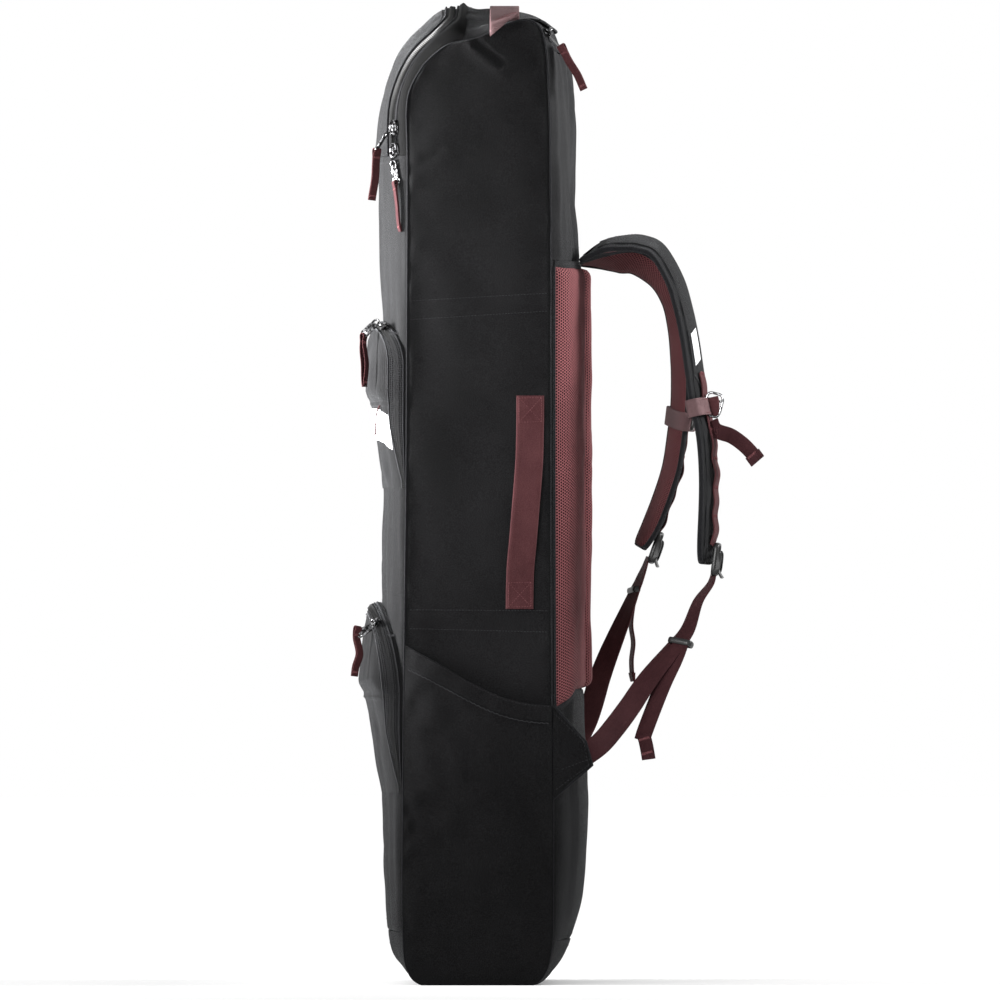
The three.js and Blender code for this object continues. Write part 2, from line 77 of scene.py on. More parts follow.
# ---- camera, floor and light --------------------------------------------------------------------
def add_camera():
    data = bpy.data.cameras.new("camera")
    data.lens = 771
    data.sensor_width = 36
    data.clip_end = 60
    camera = bpy.data.objects.new("camera", data)
    camera.location = (24.145, 0.0246, 0.544)
    camera.rotation_euler = (pi / 2, 0, pi / 2)
    bpy.context.scene.collection.objects.link(camera)
    bpy.context.scene.camera = camera


def add_softbox(name, location, target, size, power, spread=pi):
    data = bpy.data.lights.new(name, "AREA")
    data.shape = "RECTANGLE"
    data.size, data.size_y = size
    data.spread = spread
    data.energy = power
    light = bpy.data.objects.new(name, data)
    light.location = location
    bpy.context.scene.collection.objects.link(light)
    aim = light.constraints.new("TRACK_TO")
    aim.target = target
    aim.track_axis, aim.up_axis = "TRACK_NEGATIVE_Z", "UP_Y"


def add_studio():
    world = bpy.data.worlds.new("studio")
    world.use_nodes = True
    world.node_tree.nodes["Background"].inputs["Color"].default_value = (1, 1, 1, 1)
    world.node_tree.nodes["Background"].inputs["Strength"].default_value = 1.0
    bpy.context.scene.world = world
    bpy.context.scene.view_settings.view_transform = "Standard"
    bpy.ops.mesh.primitive_plane_add(size=30)
    floor = bpy.context.object
    floor.name = "floor"
    paint = bpy.data.materials.new("floor_paint")
    paint.use_nodes = True
    shader = paint.node_tree.nodes["Principled BSDF"]
    shader.inputs["Base Color"].default_value = (0.93, 0.93, 0.93, 1)
    shader.inputs["Roughness"].default_value = 0.9
    shader.inputs["Specular IOR Level"].default_value = 0.0
    shader.inputs["Emission Color"].default_value = (1, 1, 1, 1)
    shader.inputs["Emission Strength"].default_value = 0.078
    floor.data.materials.append(paint)
    aim = bpy.data.objects.new("aim", None)
    aim.location = (0, 0, 0.98)
    strap_aim = bpy.data.objects.new("strap_aim", None)
    strap_aim.location = (-0.05, 0.28, 0.62)
    for spot in (aim, strap_aim):
        bpy.context.scene.collection.objects.link(spot)
    add_softbox("front_side_light", (0.1, -1.35, 0.88), aim, (0.4, 0.5), 62, 1.35)
    add_softbox("back_side_light", (0.0, 1.45, 1.30), aim, (0.4, 0.5), 13, 1.0)
    add_softbox("fill_light", (1.7, -1.5, 1.5), aim, (0.6, 0.6), 2.5, 1.0)
    add_softbox("strap_light", (2.2, -0.7, 0.85), strap_aim, (0.4, 0.4), 2.3, 0.55)


# ---- small geometry tools -----------------------------------------------------------------------
def unit(v):
    v = np.asarray(v, float)
    return v / np.maximum(np.linalg.norm(v, axis=-1, keepdims=True), 1e-9)


def square_to(v, axis):
    """The direction v, turned square to a unit axis."""
    v = np.asarray(v, float)
    return unit(v - (v @ axis) * axis)


def reach_along(line):
    """Distance from the line's start at each of its points."""
    return np.concatenate([[0], np.cumsum(np.linalg.norm(np.diff(line, axis=0), axis=1))])


def resample(line, count):
    """The same line with evenly spaced points."""
    reach = reach_along(line)
    at = np.linspace(0, reach[-1], count)
    return np.stack([np.interp(at, reach, line[:, k]) for k in range(line.shape[1])], 1)


def spline(points, count):
    """Evenly spaced points on a smooth curve through the given ones."""
    p = np.array(points, float)
    p = np.vstack([2 * p[0] - p[1], p, 2 * p[-1] - p[-2]])
    t = np.linspace(0, 1, 24, endpoint=False)[:, None]
    fine = []
    for a, b, c, d in zip(p[:-3], p[1:-2], p[2:-1], p[3:]):
        fine.append(0.5 * (2 * b + (c - a) * t + (2 * a - 5 * b + 4 * c - d) * t ** 2
                           + (3 * b - a - 3 * c + d) * t ** 3))
    return resample(np.vstack(fine + [p[-2:-1]]), count)


def length_of(line):
    return float(np.linalg.norm(np.diff(line, axis=0), axis=1).sum())


def ripple(p, wavelength, seed, waves=18):
    """Smooth, seeded unevenness of about -2 to 2 at the points p."""
    rng = np.random.default_rng(seed)
    pitch = wavelength * rng.uniform(0.7, 1.5, (waves, 1))
    k = unit(rng.normal(size=(waves, 3))) * 2 * pi / pitch
    phase = rng.uniform(0, 2 * pi, waves)
    total = np.sin(p.reshape(-1, 3) @ k.T + phase).sum(1)
    return total.reshape(p.shape[:-1]) / sqrt(waves / 2)


def near_line(p, a, b):
    """Distance of the points p (y, z) from the stroke a to b."""
    a, b = np.array(a, float), np.array(b, float)
    along = np.clip(((p - a) @ (b - a)) / ((b - a) @ (b - a)), 0, 1)
    return np.linalg.norm(p - a - along[..., None] * (b - a), axis=-1)


def fold(p, a, b, depth, width):
    """A soft crease along a stroke in the YZ plane: a valley with a ridge beside it."""
    d = near_line(p[..., 1:], a, b) / width
    return depth * (1.4 * np.exp(-((d - 1.1) ** 2)) - 1.6 * np.exp(-(d * 1.6) ** 2))


def bell(d, width):
    return np.exp(-(d / width) ** 2)


def signed_power(v, power):
    return np.sign(v) * np.abs(v) ** power


def raised(points, lift):
    """A grid pushed out along its own normals."""
    return points + surface_normals(points) * lift[..., None]


def seam_fade(points, width, half=GUSSET):
    """0 at the width half and beyond, rising to 1 over a strip inside it."""
    return np.clip((half - np.abs(points[..., 0])) / width, 0, 1)


# ---- pieces: surfaces gathered into one object --------------------------------------------------
class Piece:
    """Collects surfaces, each with its own look, and builds them as one object."""

    def __init__(self):
        self.verts, self.faces, self.uvs, self.face_looks, self.looks = [], [], [], [], []
        self.count = 0

    def add(self, verts, faces, uvs, look):
        if look not in self.looks:
            self.looks.append(look)
        self.verts.append(np.asarray(verts, float).reshape(-1, 3))
        self.faces += [[i + self.count for i in f] for f in faces]
        self.uvs += uvs
        self.face_looks += [self.looks.index(look)] * len(faces)
        self.count += len(self.verts[-1])
        return self

    def grid(self, points, look, flip=False, wrap=False):
        """A sheet of quads over points[i][j]; wrap closes it round j."""
        n, m = points.shape[:2]
        row = reach_along(points[:, m // 2])
        col = reach_along(np.vstack([points[n // 2], points[n // 2][:1]]))
        faces, uvs = [], []
        for i in range(n - 1):
            for j in range(m if wrap else m - 1):
                k = (j + 1) % m
                quad = [(i, j, j), (i + 1, j, j), (i + 1, k, j + 1), (i, k, j + 1)]
                if flip:
                    quad.reverse()
                faces.append([a * m + b for a, b, _ in quad])
                uvs.append([(row[a], col[c]) for a, _, c in quad])
        return self.add(points, faces, uvs, look)

    def shell(self, outer, look, thick=CLOTH, lining=None):
        """A sheet with thickness: its other face lies thick behind it, and its rim is closed."""
        n, m = outer.shape[:2]
        inner = outer - surface_normals(outer) * thick
        self.grid(outer, look)
        self.grid(inner, lining or look, flip=True)
        for a, b in ((outer[:1], inner[:1]), (inner[-1:], outer[-1:])):
            self.grid(np.concatenate([b, a]).reshape(2, m, 3), look)
        for a, b in ((outer[:, :1], inner[:, :1]), (inner[:, -1:], outer[:, -1:])):
            self.grid(np.concatenate([b, a], 1).reshape(n, 2, 3), look)
        return self

    def sweep(self, path, across, section, look):
        """A closed section, [across, out], carried along a path, with capped ends."""
        path = np.asarray(path, float)
        along = unit(np.gradient(path, axis=0))
        side = np.broadcast_to(np.asarray(across, float), path.shape)
        side = unit(side - (side * along).sum(1, keepdims=True) * along)
        out = np.cross(along, side)
        section = np.asarray(section, float)
        rings = path[:, None] + side[:, None] * section[:, :1] + out[:, None] * section[:, 1:]
        return self.capped(rings, section, look)

    def capped(self, rings, section, look):
        """Closed rings joined into a skin, with a flat cap at either end."""
        corners = list(range(len(section)))
        flat = [tuple(p) for p in section]
        self.grid(rings, look, wrap=True)
        self.add(rings[0], [corners], [flat], look)
        return self.add(rings[-1], [corners[::-1]], [flat[::-1]], look)

    def tube(self, path, radius, look, sides=8):
        path = np.asarray(path, float)
        along = unit(np.gradient(path, axis=0))
        guess = np.array([0, 0, 1.0]) if abs(along[:, 2]).mean() < 0.7 else np.array([1.0, 0, 0])
        return self.sweep(path, guess, ring_section(radius, sides), look)

    def stitches(self, line, normal, look, pitch=3.6, size=(2.5, 0.33)):
        """A row of thread stitches lying along a line; size is their length and radius."""
        count = max(2, int(length_of(line) / pitch))
        fine = resample(line, count * 2)
        normal = np.broadcast_to(np.asarray(normal, float), (len(line), 3))
        lie = resample(np.hstack([line, normal]), count * 2)[:, 3:]
        for i in range(0, count * 2 - 1, 2):
            a, b = fine[i], fine[i + 1]
            along = unit(b - a)
            half = min(size[0], np.linalg.norm(b - a) * 1.5) / 2
            self.spindle((a + b) / 2, along, unit(lie[i]), half, size[1], look)
        return self

    def stitch_row(self, points, k, skip=0):
        """Stitches along row k of a cloth grid, leaving out some points at both ends."""
        inside = slice(skip, -skip or None)
        normal = surface_normals(points)[k][inside]
        return self.stitches(points[k][inside] + normal * STITCH_LIFT, normal, LOOKS["thread"])

    def spindle(self, centre, along, up, half, radius, look):
        """One stitch: a five-sided rod with narrowed ends."""
        side = unit(np.cross(along, up))
        up = np.cross(side, along)
        rings = []
        for t, r in ((-1, 0.35), (-0.6, 1), (0.6, 1), (1, 0.35)):
            for angle in 2 * pi * np.arange(5) / 5:
                rings.append(centre + along * half * t
                             + radius * r * (np.cos(angle) * side + np.sin(angle) * up))
        faces = [[4, 3, 2, 1, 0], [15, 16, 17, 18, 19]]
        for k in range(3):
            for a in range(5):
                b = (a + 1) % 5
                faces.append([k * 5 + a, k * 5 + b, k * 5 + 5 + b, k * 5 + 5 + a])
        uvs = [[(0.0, 0.0)] * len(f) for f in faces]
        return self.add(rings, faces, uvs, look)

    def build(self, name, body, slot, replaces=(), ride=True):
        """Makes the object, in metres, and parents it to the empty of the body it rides; slot is
        not used.
        """
        data = bpy.data.meshes.new(name)
        data.from_pydata((np.vstack(self.verts) * 0.001).tolist(), [], self.faces)
        layer = data.uv_layers.new(name="UVMap")
        flat = np.array([c for f in self.uvs for c in f], np.float32) * 0.001
        layer.data.foreach_set("uv", flat.ravel())
        data.polygons.foreach_set("material_index", self.face_looks)
        for look in self.looks:
            data.materials.append(look)
        obj = bpy.data.objects.new(name, data)
        bpy.context.scene.collection.objects.link(obj)
        merge_and_face_out(data)
        data.shade_smooth()
        data.set_sharp_from_angle(angle=0.9)
        if replaces:
            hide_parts(*replaces)
        if ride:
            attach(obj, body)
        return obj


def merge_and_face_out(data):
    bm = bmesh.new()
    bm.from_mesh(data)
    bmesh.ops.remove_doubles(bm, verts=bm.verts, dist=0.00002)
    bmesh.ops.recalc_face_normals(bm, faces=bm.faces)
    bm.to_mesh(data)
    bm.free()


def surface_normals(points):
    """Unit normals of a grid, out of the side where i x j points."""
    return unit(np.cross(np.gradient(points, axis=1), np.gradient(points, axis=0)))


def ring_section(radius, sides=8):
    a = np.linspace(0, 2 * pi, sides, endpoint=False)
    return np.stack([radius * np.cos(a), radius * np.sin(a)], 1)


def band_section(width, thick, columns=6):
    """A webbing's section: flat faces and rounded edges."""
    w, t = width / 2, thick / 2
    flat = np.linspace(-w + t, w - t, columns)
    top = [(x, t) for x in flat]
    right = [(w - t + t * np.cos(a), t * np.sin(a)) for a in (pi / 4, 0, -pi / 4)]
    bottom = [(x, -t) for x in flat[::-1]]
    left = [(-w + t + t * np.cos(a), t * np.sin(a)) for a in (-3 * pi / 4, pi, 3 * pi / 4)]
    return np.array(top + right + bottom + left)[::-1]


# ---- materials ----------------------------------------------------------------------------------
CLOTH_GLOSS = 0.04


class Shader:
    """Short names for building a node material."""

    def __init__(self, name, roughness, metallic=0.0, gloss=0.5):
        self.look = bpy.data.materials.new(name)
        self.look.use_nodes = True
        self.tree = self.look.node_tree
        self.shader = self.tree.nodes["Principled BSDF"]
        self.shader.inputs["Roughness"].default_value = roughness
        self.shader.inputs["Metallic"].default_value = metallic
        self.shader.inputs["Specular IOR Level"].default_value = gloss

    def node(self, kind, *links, **settings):
        made = self.tree.nodes.new(kind)
        for key, value in settings.items():
            if hasattr(made, key):
                setattr(made, key, value)
            else:
                made.inputs[key].default_value = value
        for slot, source in enumerate(links):
            if source is None:
                continue
            if isinstance(source, (int, float, tuple)):
                made.inputs[slot].default_value = source
            else:
                self.tree.links.new(source, made.inputs[slot])
        return made

    def math(self, operation, a, b=None):
        return self.node("ShaderNodeMath", a, b, operation=operation).outputs[0]

    def uv(self):
        split = self.node("ShaderNodeSeparateXYZ", self.node("ShaderNodeUVMap").outputs["UV"])
        return split.outputs["X"], split.outputs["Y"]

    def noise(self, scale, detail=3.0):
        place = self.node("ShaderNodeTexCoord").outputs["Object"]
        return self.node("ShaderNodeTexNoise", place, Scale=scale, Detail=detail).outputs["Fac"]

    def ramp(self, value, *stops):
        made = self.node("ShaderNodeValToRGB", value)
        for i, (position, colour) in enumerate(stops):
            stop = made.color_ramp.elements[i] if i < 2 else made.color_ramp.elements.new(position)
            stop.position = position
            stop.color = (*colour, 1)
        return made.outputs["Color"]

    def mix(self, share, colour, other):
        """A plain colour, mixed by a share with another node's colour."""
        made = self.node("ShaderNodeMix", data_type="RGBA")
        self.tree.links.new(share, made.inputs[0])
        made.inputs[6].default_value = (*colour, 1)
        self.tree.links.new(other, made.inputs[7])
        return made.outputs[2]

    def colour(self, source):
        self.tree.links.new(source, self.shader.inputs["Base Color"])

    def rough(self, value, low, high):
        spread = self.node("ShaderNodeMapRange", value, **{"To Min": low, "To Max": high})
        self.tree.links.new(spread.outputs[0], self.shader.inputs["Roughness"])

    def bump(self, *layers):
        """Each layer is a height, its depth in millimetres."""
        last = None
        for height, depth in layers:
            made = self.node("ShaderNodeBump", Distance=depth * 0.001)
            self.tree.links.new(height, made.inputs["Height"])
            if last is not None:
                self.tree.links.new(last, made.inputs["Normal"])
            last = made.outputs["Normal"]
        self.tree.links.new(last, self.shader.inputs["Normal"])

    def sheen(self, weight, roughness, tint):
        self.shader.inputs["Sheen Weight"].default_value = weight
        self.shader.inputs["Sheen Roughness"].default_value = roughness
        self.shader.inputs["Sheen Tint"].default_value = (*tint, 1)

    def wave(self, value, pitch):
        return self.math("SINE", self.math("MULTIPLY", value, 2 * pi / (pitch * 0.001)))


def canvas_look(name, dark, light, sheen=0.08, pitch=0.85):
    """Plain-woven polyester: a fine weave, uneven yarns and a soft sheen."""
    s = Shader(name, 0.78, gloss=CLOTH_GLOSS)
    u, v = s.uv()
    weave = s.math("MULTIPLY", s.wave(u, pitch), s.wave(v, pitch))
    yarn = s.noise(900, 2)
    patch = s.noise(7, 3)
    level = s.math("ADD", s.math("MULTIPLY", yarn, 0.75), s.math("MULTIPLY", patch, 0.25))
    level = s.math("ADD", level, s.math("MULTIPLY", weave, 0.05))
    s.colour(s.ramp(level, (0.38, dark), (0.66, light)))
    s.rough(patch, 0.68, 0.86)
    s.bump((patch, 0.6), (yarn, 0.3), (weave, 0.16))
    s.sheen(sheen, 0.3, (0.85, 0.87, 0.9))
    return s.look


def webbing_look(name, dark, light, rib=1.25):
    """Ribbed webbing with a fine chevron of crossing yarns."""
    s = Shader(name, 0.62, gloss=CLOTH_GLOSS)
    u, v = s.uv()
    lane = s.math("PINGPONG", s.math("MULTIPLY", v, 1000 / 3.2), 1.0)
    rise = s.math("ADD", s.math("MULTIPLY", u, 1000 / rib), s.math("MULTIPLY", lane, 0.9))
    ribs = s.math("SINE", s.math("MULTIPLY", rise, 2 * pi))
    yarn = s.noise(1100, 2)
    patch = s.noise(28, 3)
    level = s.math("ADD", s.math("MULTIPLY", ribs, 0.16), s.math("MULTIPLY", yarn, 0.55))
    level = s.math("ADD", level, s.math("MULTIPLY", patch, 0.4))
    s.colour(s.ramp(level, (0.25, dark), (0.8, light)))
    s.rough(yarn, 0.5, 0.75)
    s.bump((ribs, 0.22), (yarn, 0.15))
    s.sheen(0.02, 0.3, (1.0, 0.7, 0.7))
    return s.look


def spacer_look(name, thread, hole_shade, pitch=3.2):
    """3-D spacer mesh: round holes on a hexagonal lattice, painted near black inside for the shade
    in the holes.
    """
    s = Shader(name, 0.8, gloss=CLOTH_GLOSS)
    place = s.node("ShaderNodeUVMap").outputs["UV"]
    cell = (1000 / pitch, 1000 / (pitch * sqrt(3)), 1.0)

    def vector(operation, *links):
        return s.node("ShaderNodeVectorMath", *links, operation=operation).outputs

    grid = vector("MULTIPLY", place, cell)[0]

    def to_hole(shift):
        """Distance from the middle of the nearest hole, in cells."""
        part = vector("FRACTION", vector("ADD", grid, shift)[0])[0]
        off = vector("SUBTRACT", part, (0.5, 0.5, 0.0))[0]
        return vector("LENGTH", vector("MULTIPLY", off, (1.0, sqrt(3), 0.0))[0])["Value"]

    near = s.math("MINIMUM", to_hole((0.0, 0.0, 0.0)), to_hole((0.5, 0.5, 0.0)))
    knit = s.node("ShaderNodeMapRange", near, interpolation_type="SMOOTHSTEP",
                  **{"From Min": 0.22, "From Max": 0.42}).outputs[0]
    yarn = s.noise(1300, 2)
    patch = s.noise(18, 2)
    thread_tone = s.ramp(s.math("ADD", s.math("MULTIPLY", yarn, 0.6), s.math("MULTIPLY", patch, 0.4)),
                 (0.3, tuple(c * 0.7 for c in thread)), (0.7, tuple(c * 1.25 for c in thread)))
    # painted shade: inside the holes the colour is near black, for the shade in them
    s.colour(s.mix(knit, hole_shade, thread_tone))
    s.bump((knit, 1.3), (yarn, 0.15))
    s.sheen(0.03, 0.3, (1.0, 0.6, 0.6))
    return s.look


def plastic_look(name, tone, roughness, gloss=0.5):
    """Moulded plastic of one grey tone, with a fine grain and worn patches."""
    s = Shader(name, roughness, gloss=gloss)
    grain = s.noise(600, 3)
    blotch = s.noise(45, 4)
    s.colour(s.ramp(blotch, (0.35, (tone * 0.8,) * 3), (0.7, (tone * 1.4,) * 3)))
    s.rough(blotch, roughness - 0.08, roughness + 0.14)
    s.bump((grain, 0.05))
    return s.look


def metal_look(name, bright, dark, roughness):
    """Cast metal whose colour carries a painted reflection: bright and dark blotches stand in for
    the lights and darks it reflects.
    """
    s = Shader(name, roughness, 1.0)
    blotch = s.noise(320, 3)
    # painted reflection: the bright and dark blotches in the base colour stand in for reflected
    # lights and darks
    s.colour(s.ramp(blotch, (0.44, (dark,) * 3), (0.6, (bright, bright, bright * 1.03))))
    s.rough(blotch, roughness * 0.7, roughness * 1.5)
    s.bump((blotch, 0.03))
    return s.look


def film_look(name):
    """Plain pale reflective film with a fine grid of beads."""
    s = Shader(name, 0.38)
    u, v = s.uv()
    beads = s.math("MULTIPLY", s.wave(u, 1.4), s.wave(v, 1.4))
    patch = s.noise(30, 3)
    s.colour(s.ramp(patch, (0.3, (0.29, 0.295, 0.30)), (0.7, (0.40, 0.40, 0.41))))
    s.rough(patch, 0.3, 0.5)
    s.bump((beads, 0.04), (patch, 0.25))
    return s.look


LOOKS = {}


def make_looks():
    """Colours are linear: the darkest and the lightest of each cloth."""
    LOOKS["canvas"] = canvas_look("black_canvas", (0.0022, 0.0022, 0.0024),
                                  (0.0102, 0.0102, 0.0107))
    # near-black canvas: the dark dotted stitch rows beside the zips, and painted shade on the zip
    # strip
    LOOKS["deep_canvas"] = canvas_look("dark_stitch_and_painted_shade_canvas", (0.0005, 0.0005, 0.0005),
                                       (0.003, 0.003, 0.0032), 0.005)
    LOOKS["lining"] = canvas_look("grey_lining", (0.05, 0.05, 0.055), (0.09, 0.09, 0.095), 0.04,
                                  0.5)
    LOOKS["tape"] = canvas_look("zip_tape", (0.006, 0.006, 0.0065), (0.016, 0.016, 0.017), 0.09,
                                1.1)
    LOOKS["binding"] = canvas_look("edge_binding", (0.005, 0.005, 0.006), (0.014, 0.014, 0.015),
                                   0.06, 0.6)
    LOOKS["webbing"] = webbing_look("maroon_webbing", (0.022, 0.007, 0.008), (0.078, 0.029, 0.031))
    LOOKS["light_webbing"] = webbing_look("dusty_pink_webbing", (0.045, 0.026, 0.027),
                                          (0.13, 0.080, 0.083), 1.0)
    # the second colour is painted shade inside the mesh holes
    LOOKS["spacer"] = spacer_look("maroon_spacer_mesh", (0.118, 0.040, 0.043),
                                  (0.006, 0.002, 0.0025))
    # painted shade: a darker copy of the maroon webbing, for webbing pieces on the right side that
    # lie in shade
    LOOKS["shaded_webbing"] = webbing_look("shade_darkened_maroon_webbing", (0.014, 0.0045, 0.0055),
                                         (0.052, 0.020, 0.022))
    # painted highlight: a lighter copy of the black cloth, for the light line along rolled edges
    # and on the bar tacks
    LOOKS["highlit_piping"] = canvas_look("highlit_piping", (0.014, 0.014, 0.015), (0.034, 0.034, 0.036), 0.15, 0.6)
    LOOKS["coil"] = plastic_look("zip_coil", 0.011, 0.45, 0.12)
    LOOKS["plastic"] = plastic_look("buckle_plastic", 0.006, 0.34, 0.25)
    LOOKS["metal"] = metal_look("polished_nickel", 0.34, 0.03, 0.24)
    LOOKS["dark_metal"] = metal_look("black_nickel", 0.12, 0.006, 0.24)
    LOOKS["film"] = film_look("reflective_film")
    LOOKS["thread"] = canvas_look("black_thread", (0.013, 0.013, 0.014), (0.034, 0.034, 0.036),
                                  0.08, 0.4)
    LOOKS["maroon_thread"] = canvas_look("maroon_thread", (0.05, 0.017, 0.019), (0.13, 0.05, 0.054),
                                         0.1, 0.4)
    LOOKS["board"] = plastic_look("stiffener_board", 0.05, 0.7)


# ---- the lofted body ----------------------------------------------------------------------------
def outline(s, first):
    """A point of the seam outline (first 0) or crown outline (first 2) at station s."""
    s = np.asarray(s, float)
    i = np.floor(s).astype(int)
    t = (s - i)[..., None]
    a, b, c, d = (STATIONS[(i + k) % len(STATIONS)][..., first:first + 2] for k in (-1, 0, 1, 2))
    lap = (i % len(STATIONS))[..., None]
    a = np.where(lap == 0, b + (a - b) * BASE_TURN, a)
    d = np.where(lap == len(STATIONS) - 2, c + (d - c) * BASE_TURN, d)
    return 0.5 * (2 * b + (c - a) * t + (2 * a - 5 * b + 4 * c - d) * t ** 2
                  + (3 * b - a - 3 * c + d) * t ** 3)


def body(s, x, lift=0.0):
    """The bag's surface at station s and width x, lifted off it by lift."""
    s, x, lift = np.broadcast_arrays(*(np.asarray(v, float) for v in (s, x, lift)))
    share = (1 - np.minimum(1, np.abs(x) / GUSSET) ** 2.2) ** 0.6

    def at(station):
        seam = outline(station, 0)
        return seam + (outline(station, 2) - seam) * share[..., None]

    along = unit(at(s + 0.02) - at(s - 0.02))
    yz = at(s)
    y = yz[..., 0] - along[..., 1] * lift
    z = np.maximum(yz[..., 1], 0) + along[..., 0] * lift
    return np.stack([x, y, z], -1)


def widths(count):
    """Columns across the bag, closer together towards the side seams."""
    q = np.linspace(-1, 1, count)
    return GUSSET * np.sign(q) * (1 - (1 - np.abs(q)) ** 1.7)


PANEL_COLUMNS = 73


def quilt(points, seed, ends, pucker=0.35):
    """Lays a sewn panel's unevenness on a grid: seams pulled in at its ends and soft folds."""
    reach = reach_along(points[:, points.shape[1] // 2])
    from_end = np.minimum(reach, reach[-1] - reach)[:, None]
    lift = -ends * bell(from_end, 2.6)
    lift = lift + 0.75 * ripple(points, 150, seed) + 0.28 * ripple(points, 46, seed + 1)
    lift = lift + pucker * bell(from_end, 14) * ripple(points * [1, 0.2, 0.2], 22, seed + 2)
    moved = raised(points, lift * seam_fade(points, 6))
    moved[..., 2] = np.maximum(moved[..., 2], 0.05)
    return moved


def panel(name, start, end, rows, seed, node, ends=1.0, drape=0.0, full=0.0):
    """A padded panel between two stations; drape hangs it in pleats, full swells its start."""
    points = body(np.linspace(start, end, rows)[:, None], widths(PANEL_COLUMNS)[None])
    points = quilt(points, seed, ends)
    hang = drape * ripple(points * [1, 1, 0.1], 32, seed + 5) * seam_fade(points, 8)
    hang = hang + full * np.linspace(1, 0, rows)[:, None] * seam_fade(points, 16, 120)
    points = raised(points, hang)
    piece = Piece().shell(points, LOOKS["canvas"], lining=LOOKS["lining"])
    for k in (3, -4):
        piece.stitch_row(points, k, 6)
    piece.build(name, "bag", "canvas", [node])


def add_body_panels():
    panel("front_cloth", FRONT_FOOT + 0.003, LID_HINGE - 0.003, 170, 11, "front_panel", ends=0.5,
          drape=0.6)
    panel("base_cloth", BACK_FOOT + 0.004, len(STATIONS) + FRONT_FOOT - 0.003, 90, 12,
          "base_panel", ends=0.3)
    panel("back_lower_cloth", PAD_FOOT + 0.003, BACK_FOOT - 0.004, 70, 13, "back_lower_panel",
          full=6.0)
    panel("back_middle_cloth", PAD_TOP + 0.003, PAD_FOOT - 0.003, 60, 14, "back_middle_panel")
    panel("back_upper_cloth", TOP_BACK + 0.004, PAD_TOP - 0.003, 80, 15, "back_upper_panel",
          drape=2.0)


# ---- side panels --------------------------------------------------------------------------------
def side_patch(rows, columns):
    """The side panel's outline filled with a grid of (y, z), from base to top and front to back."""
    front = resample(outline(np.linspace(0, LID_TOP, 400), 0), rows)
    back = resample(outline(np.linspace(26, 14, 400), 0), rows)
    foot = resample(outline(np.linspace(27, 26, 40), 0), columns)
    top = resample(outline(np.linspace(LID_TOP, 14, 60), 0), columns)
    foot[:, 1] = np.maximum(foot[:, 1], 0)
    u = np.linspace(0, 1, columns)[None, :, None]
    v = np.linspace(0, 1, rows)[:, None, None]
    sides = (1 - u) * front[:, None] + u * back[:, None]
    ends = (1 - v) * foot[None] + v * top[None]
    corners = ((1 - u) * (1 - v) * foot[0] + u * (1 - v) * foot[-1] + (1 - u) * v * top[0]
               + u * v * top[-1])
    return sides + ends - corners


def row_height(row, y):
    """Height of a stitch row that runs from the front seam to the back seam."""
    front, back = row
    return front + (back - front) * (y + 79) / 160


def side_panel(name, side, seed, node):
    flat = side_patch(260, 76)
    n, m = flat.shape[:2]
    y, z = flat[..., 0], flat[..., 1]
    j = np.minimum(np.arange(m), np.arange(m)[::-1])[None] * (165 / m)
    i = np.minimum(np.arange(n), np.arange(n)[::-1])[:, None] * (1085 / n)
    edge = np.minimum(j, i)
    points = np.stack([np.full_like(y, HALF_WIDTH), y, z], -1)
    full = 2.4 * (1 - bell(j, 30)) * np.clip((z - 380) / 120, 0, 1)
    lift = -2.2 * bell(edge, 1.7) + full
    lift = lift + 0.65 * ripple(points, 170, seed) * (1 - bell(edge, 12))
    lift = lift + 0.25 * ripple(points, 55, seed + 1) * (1 - bell(edge, 6))
    for row in SIDE_STITCH_ROWS:
        lift = lift - 0.55 * bell(z - row_height(row, y), 1.5)
    gather = bell(edge, 16) * ripple(points * [0, 1, 1], 26, seed + 3)
    lift = lift + 0.3 * gather * (1 - bell(edge, 2))
    lift = lift + fold(points, (-2, 1056), (26, 1034), 1.0, 6.5)
    lift = lift + fold(points, (-78, 912), (-44, 934), 0.3, 9)
    points[..., 0] += np.maximum(lift, -3.2)
    points[..., 0] *= side
    if side < 0:
        points = points[:, ::-1]
    piece = Piece().shell(points, LOOKS["canvas"], 3.0, LOOKS["lining"])
    for row in SIDE_STITCH_ROWS:
        ys = np.linspace(-76, 77, 90)
        zs = row_height(row, ys)
        line = np.stack([nearest_x(points, ys, zs) + side * 0.12, ys, zs], 1)
        piece.stitches(line, (side, 0, 0), LOOKS["thread"], 3.4, (2.4, 0.36))
    piece.build(name, "bag", "canvas", [node])


def nearest_x(points, ys, zs):
    """The x of the grid's surface at each (y, z), from its nearest point."""
    flat = points.reshape(-1, 3)
    found = []
    for y, z in zip(ys, zs):
        k = np.argmin((flat[:, 1] - y) ** 2 + (flat[:, 2] - z) ** 2)
        found.append(flat[k, 0])
    return np.array(found)


def add_side_seams():
    """A narrow rolled seam round each side panel."""
    for side, name in ((1, "side_seam_right"), (-1, "side_seam_left")):
        loop = outline(np.linspace(0.0, 27.0, 700), 0)
        loop[:, 1] = np.maximum(loop[:, 1], 1.2)
        line = np.stack([np.full(len(loop), side * (HALF_WIDTH - 1.0)), loop[:, 0], loop[:, 1]], 1)
        Piece().tube(line, 1.15, LOOKS["binding"], 7).build(name, "bag", "canvas")


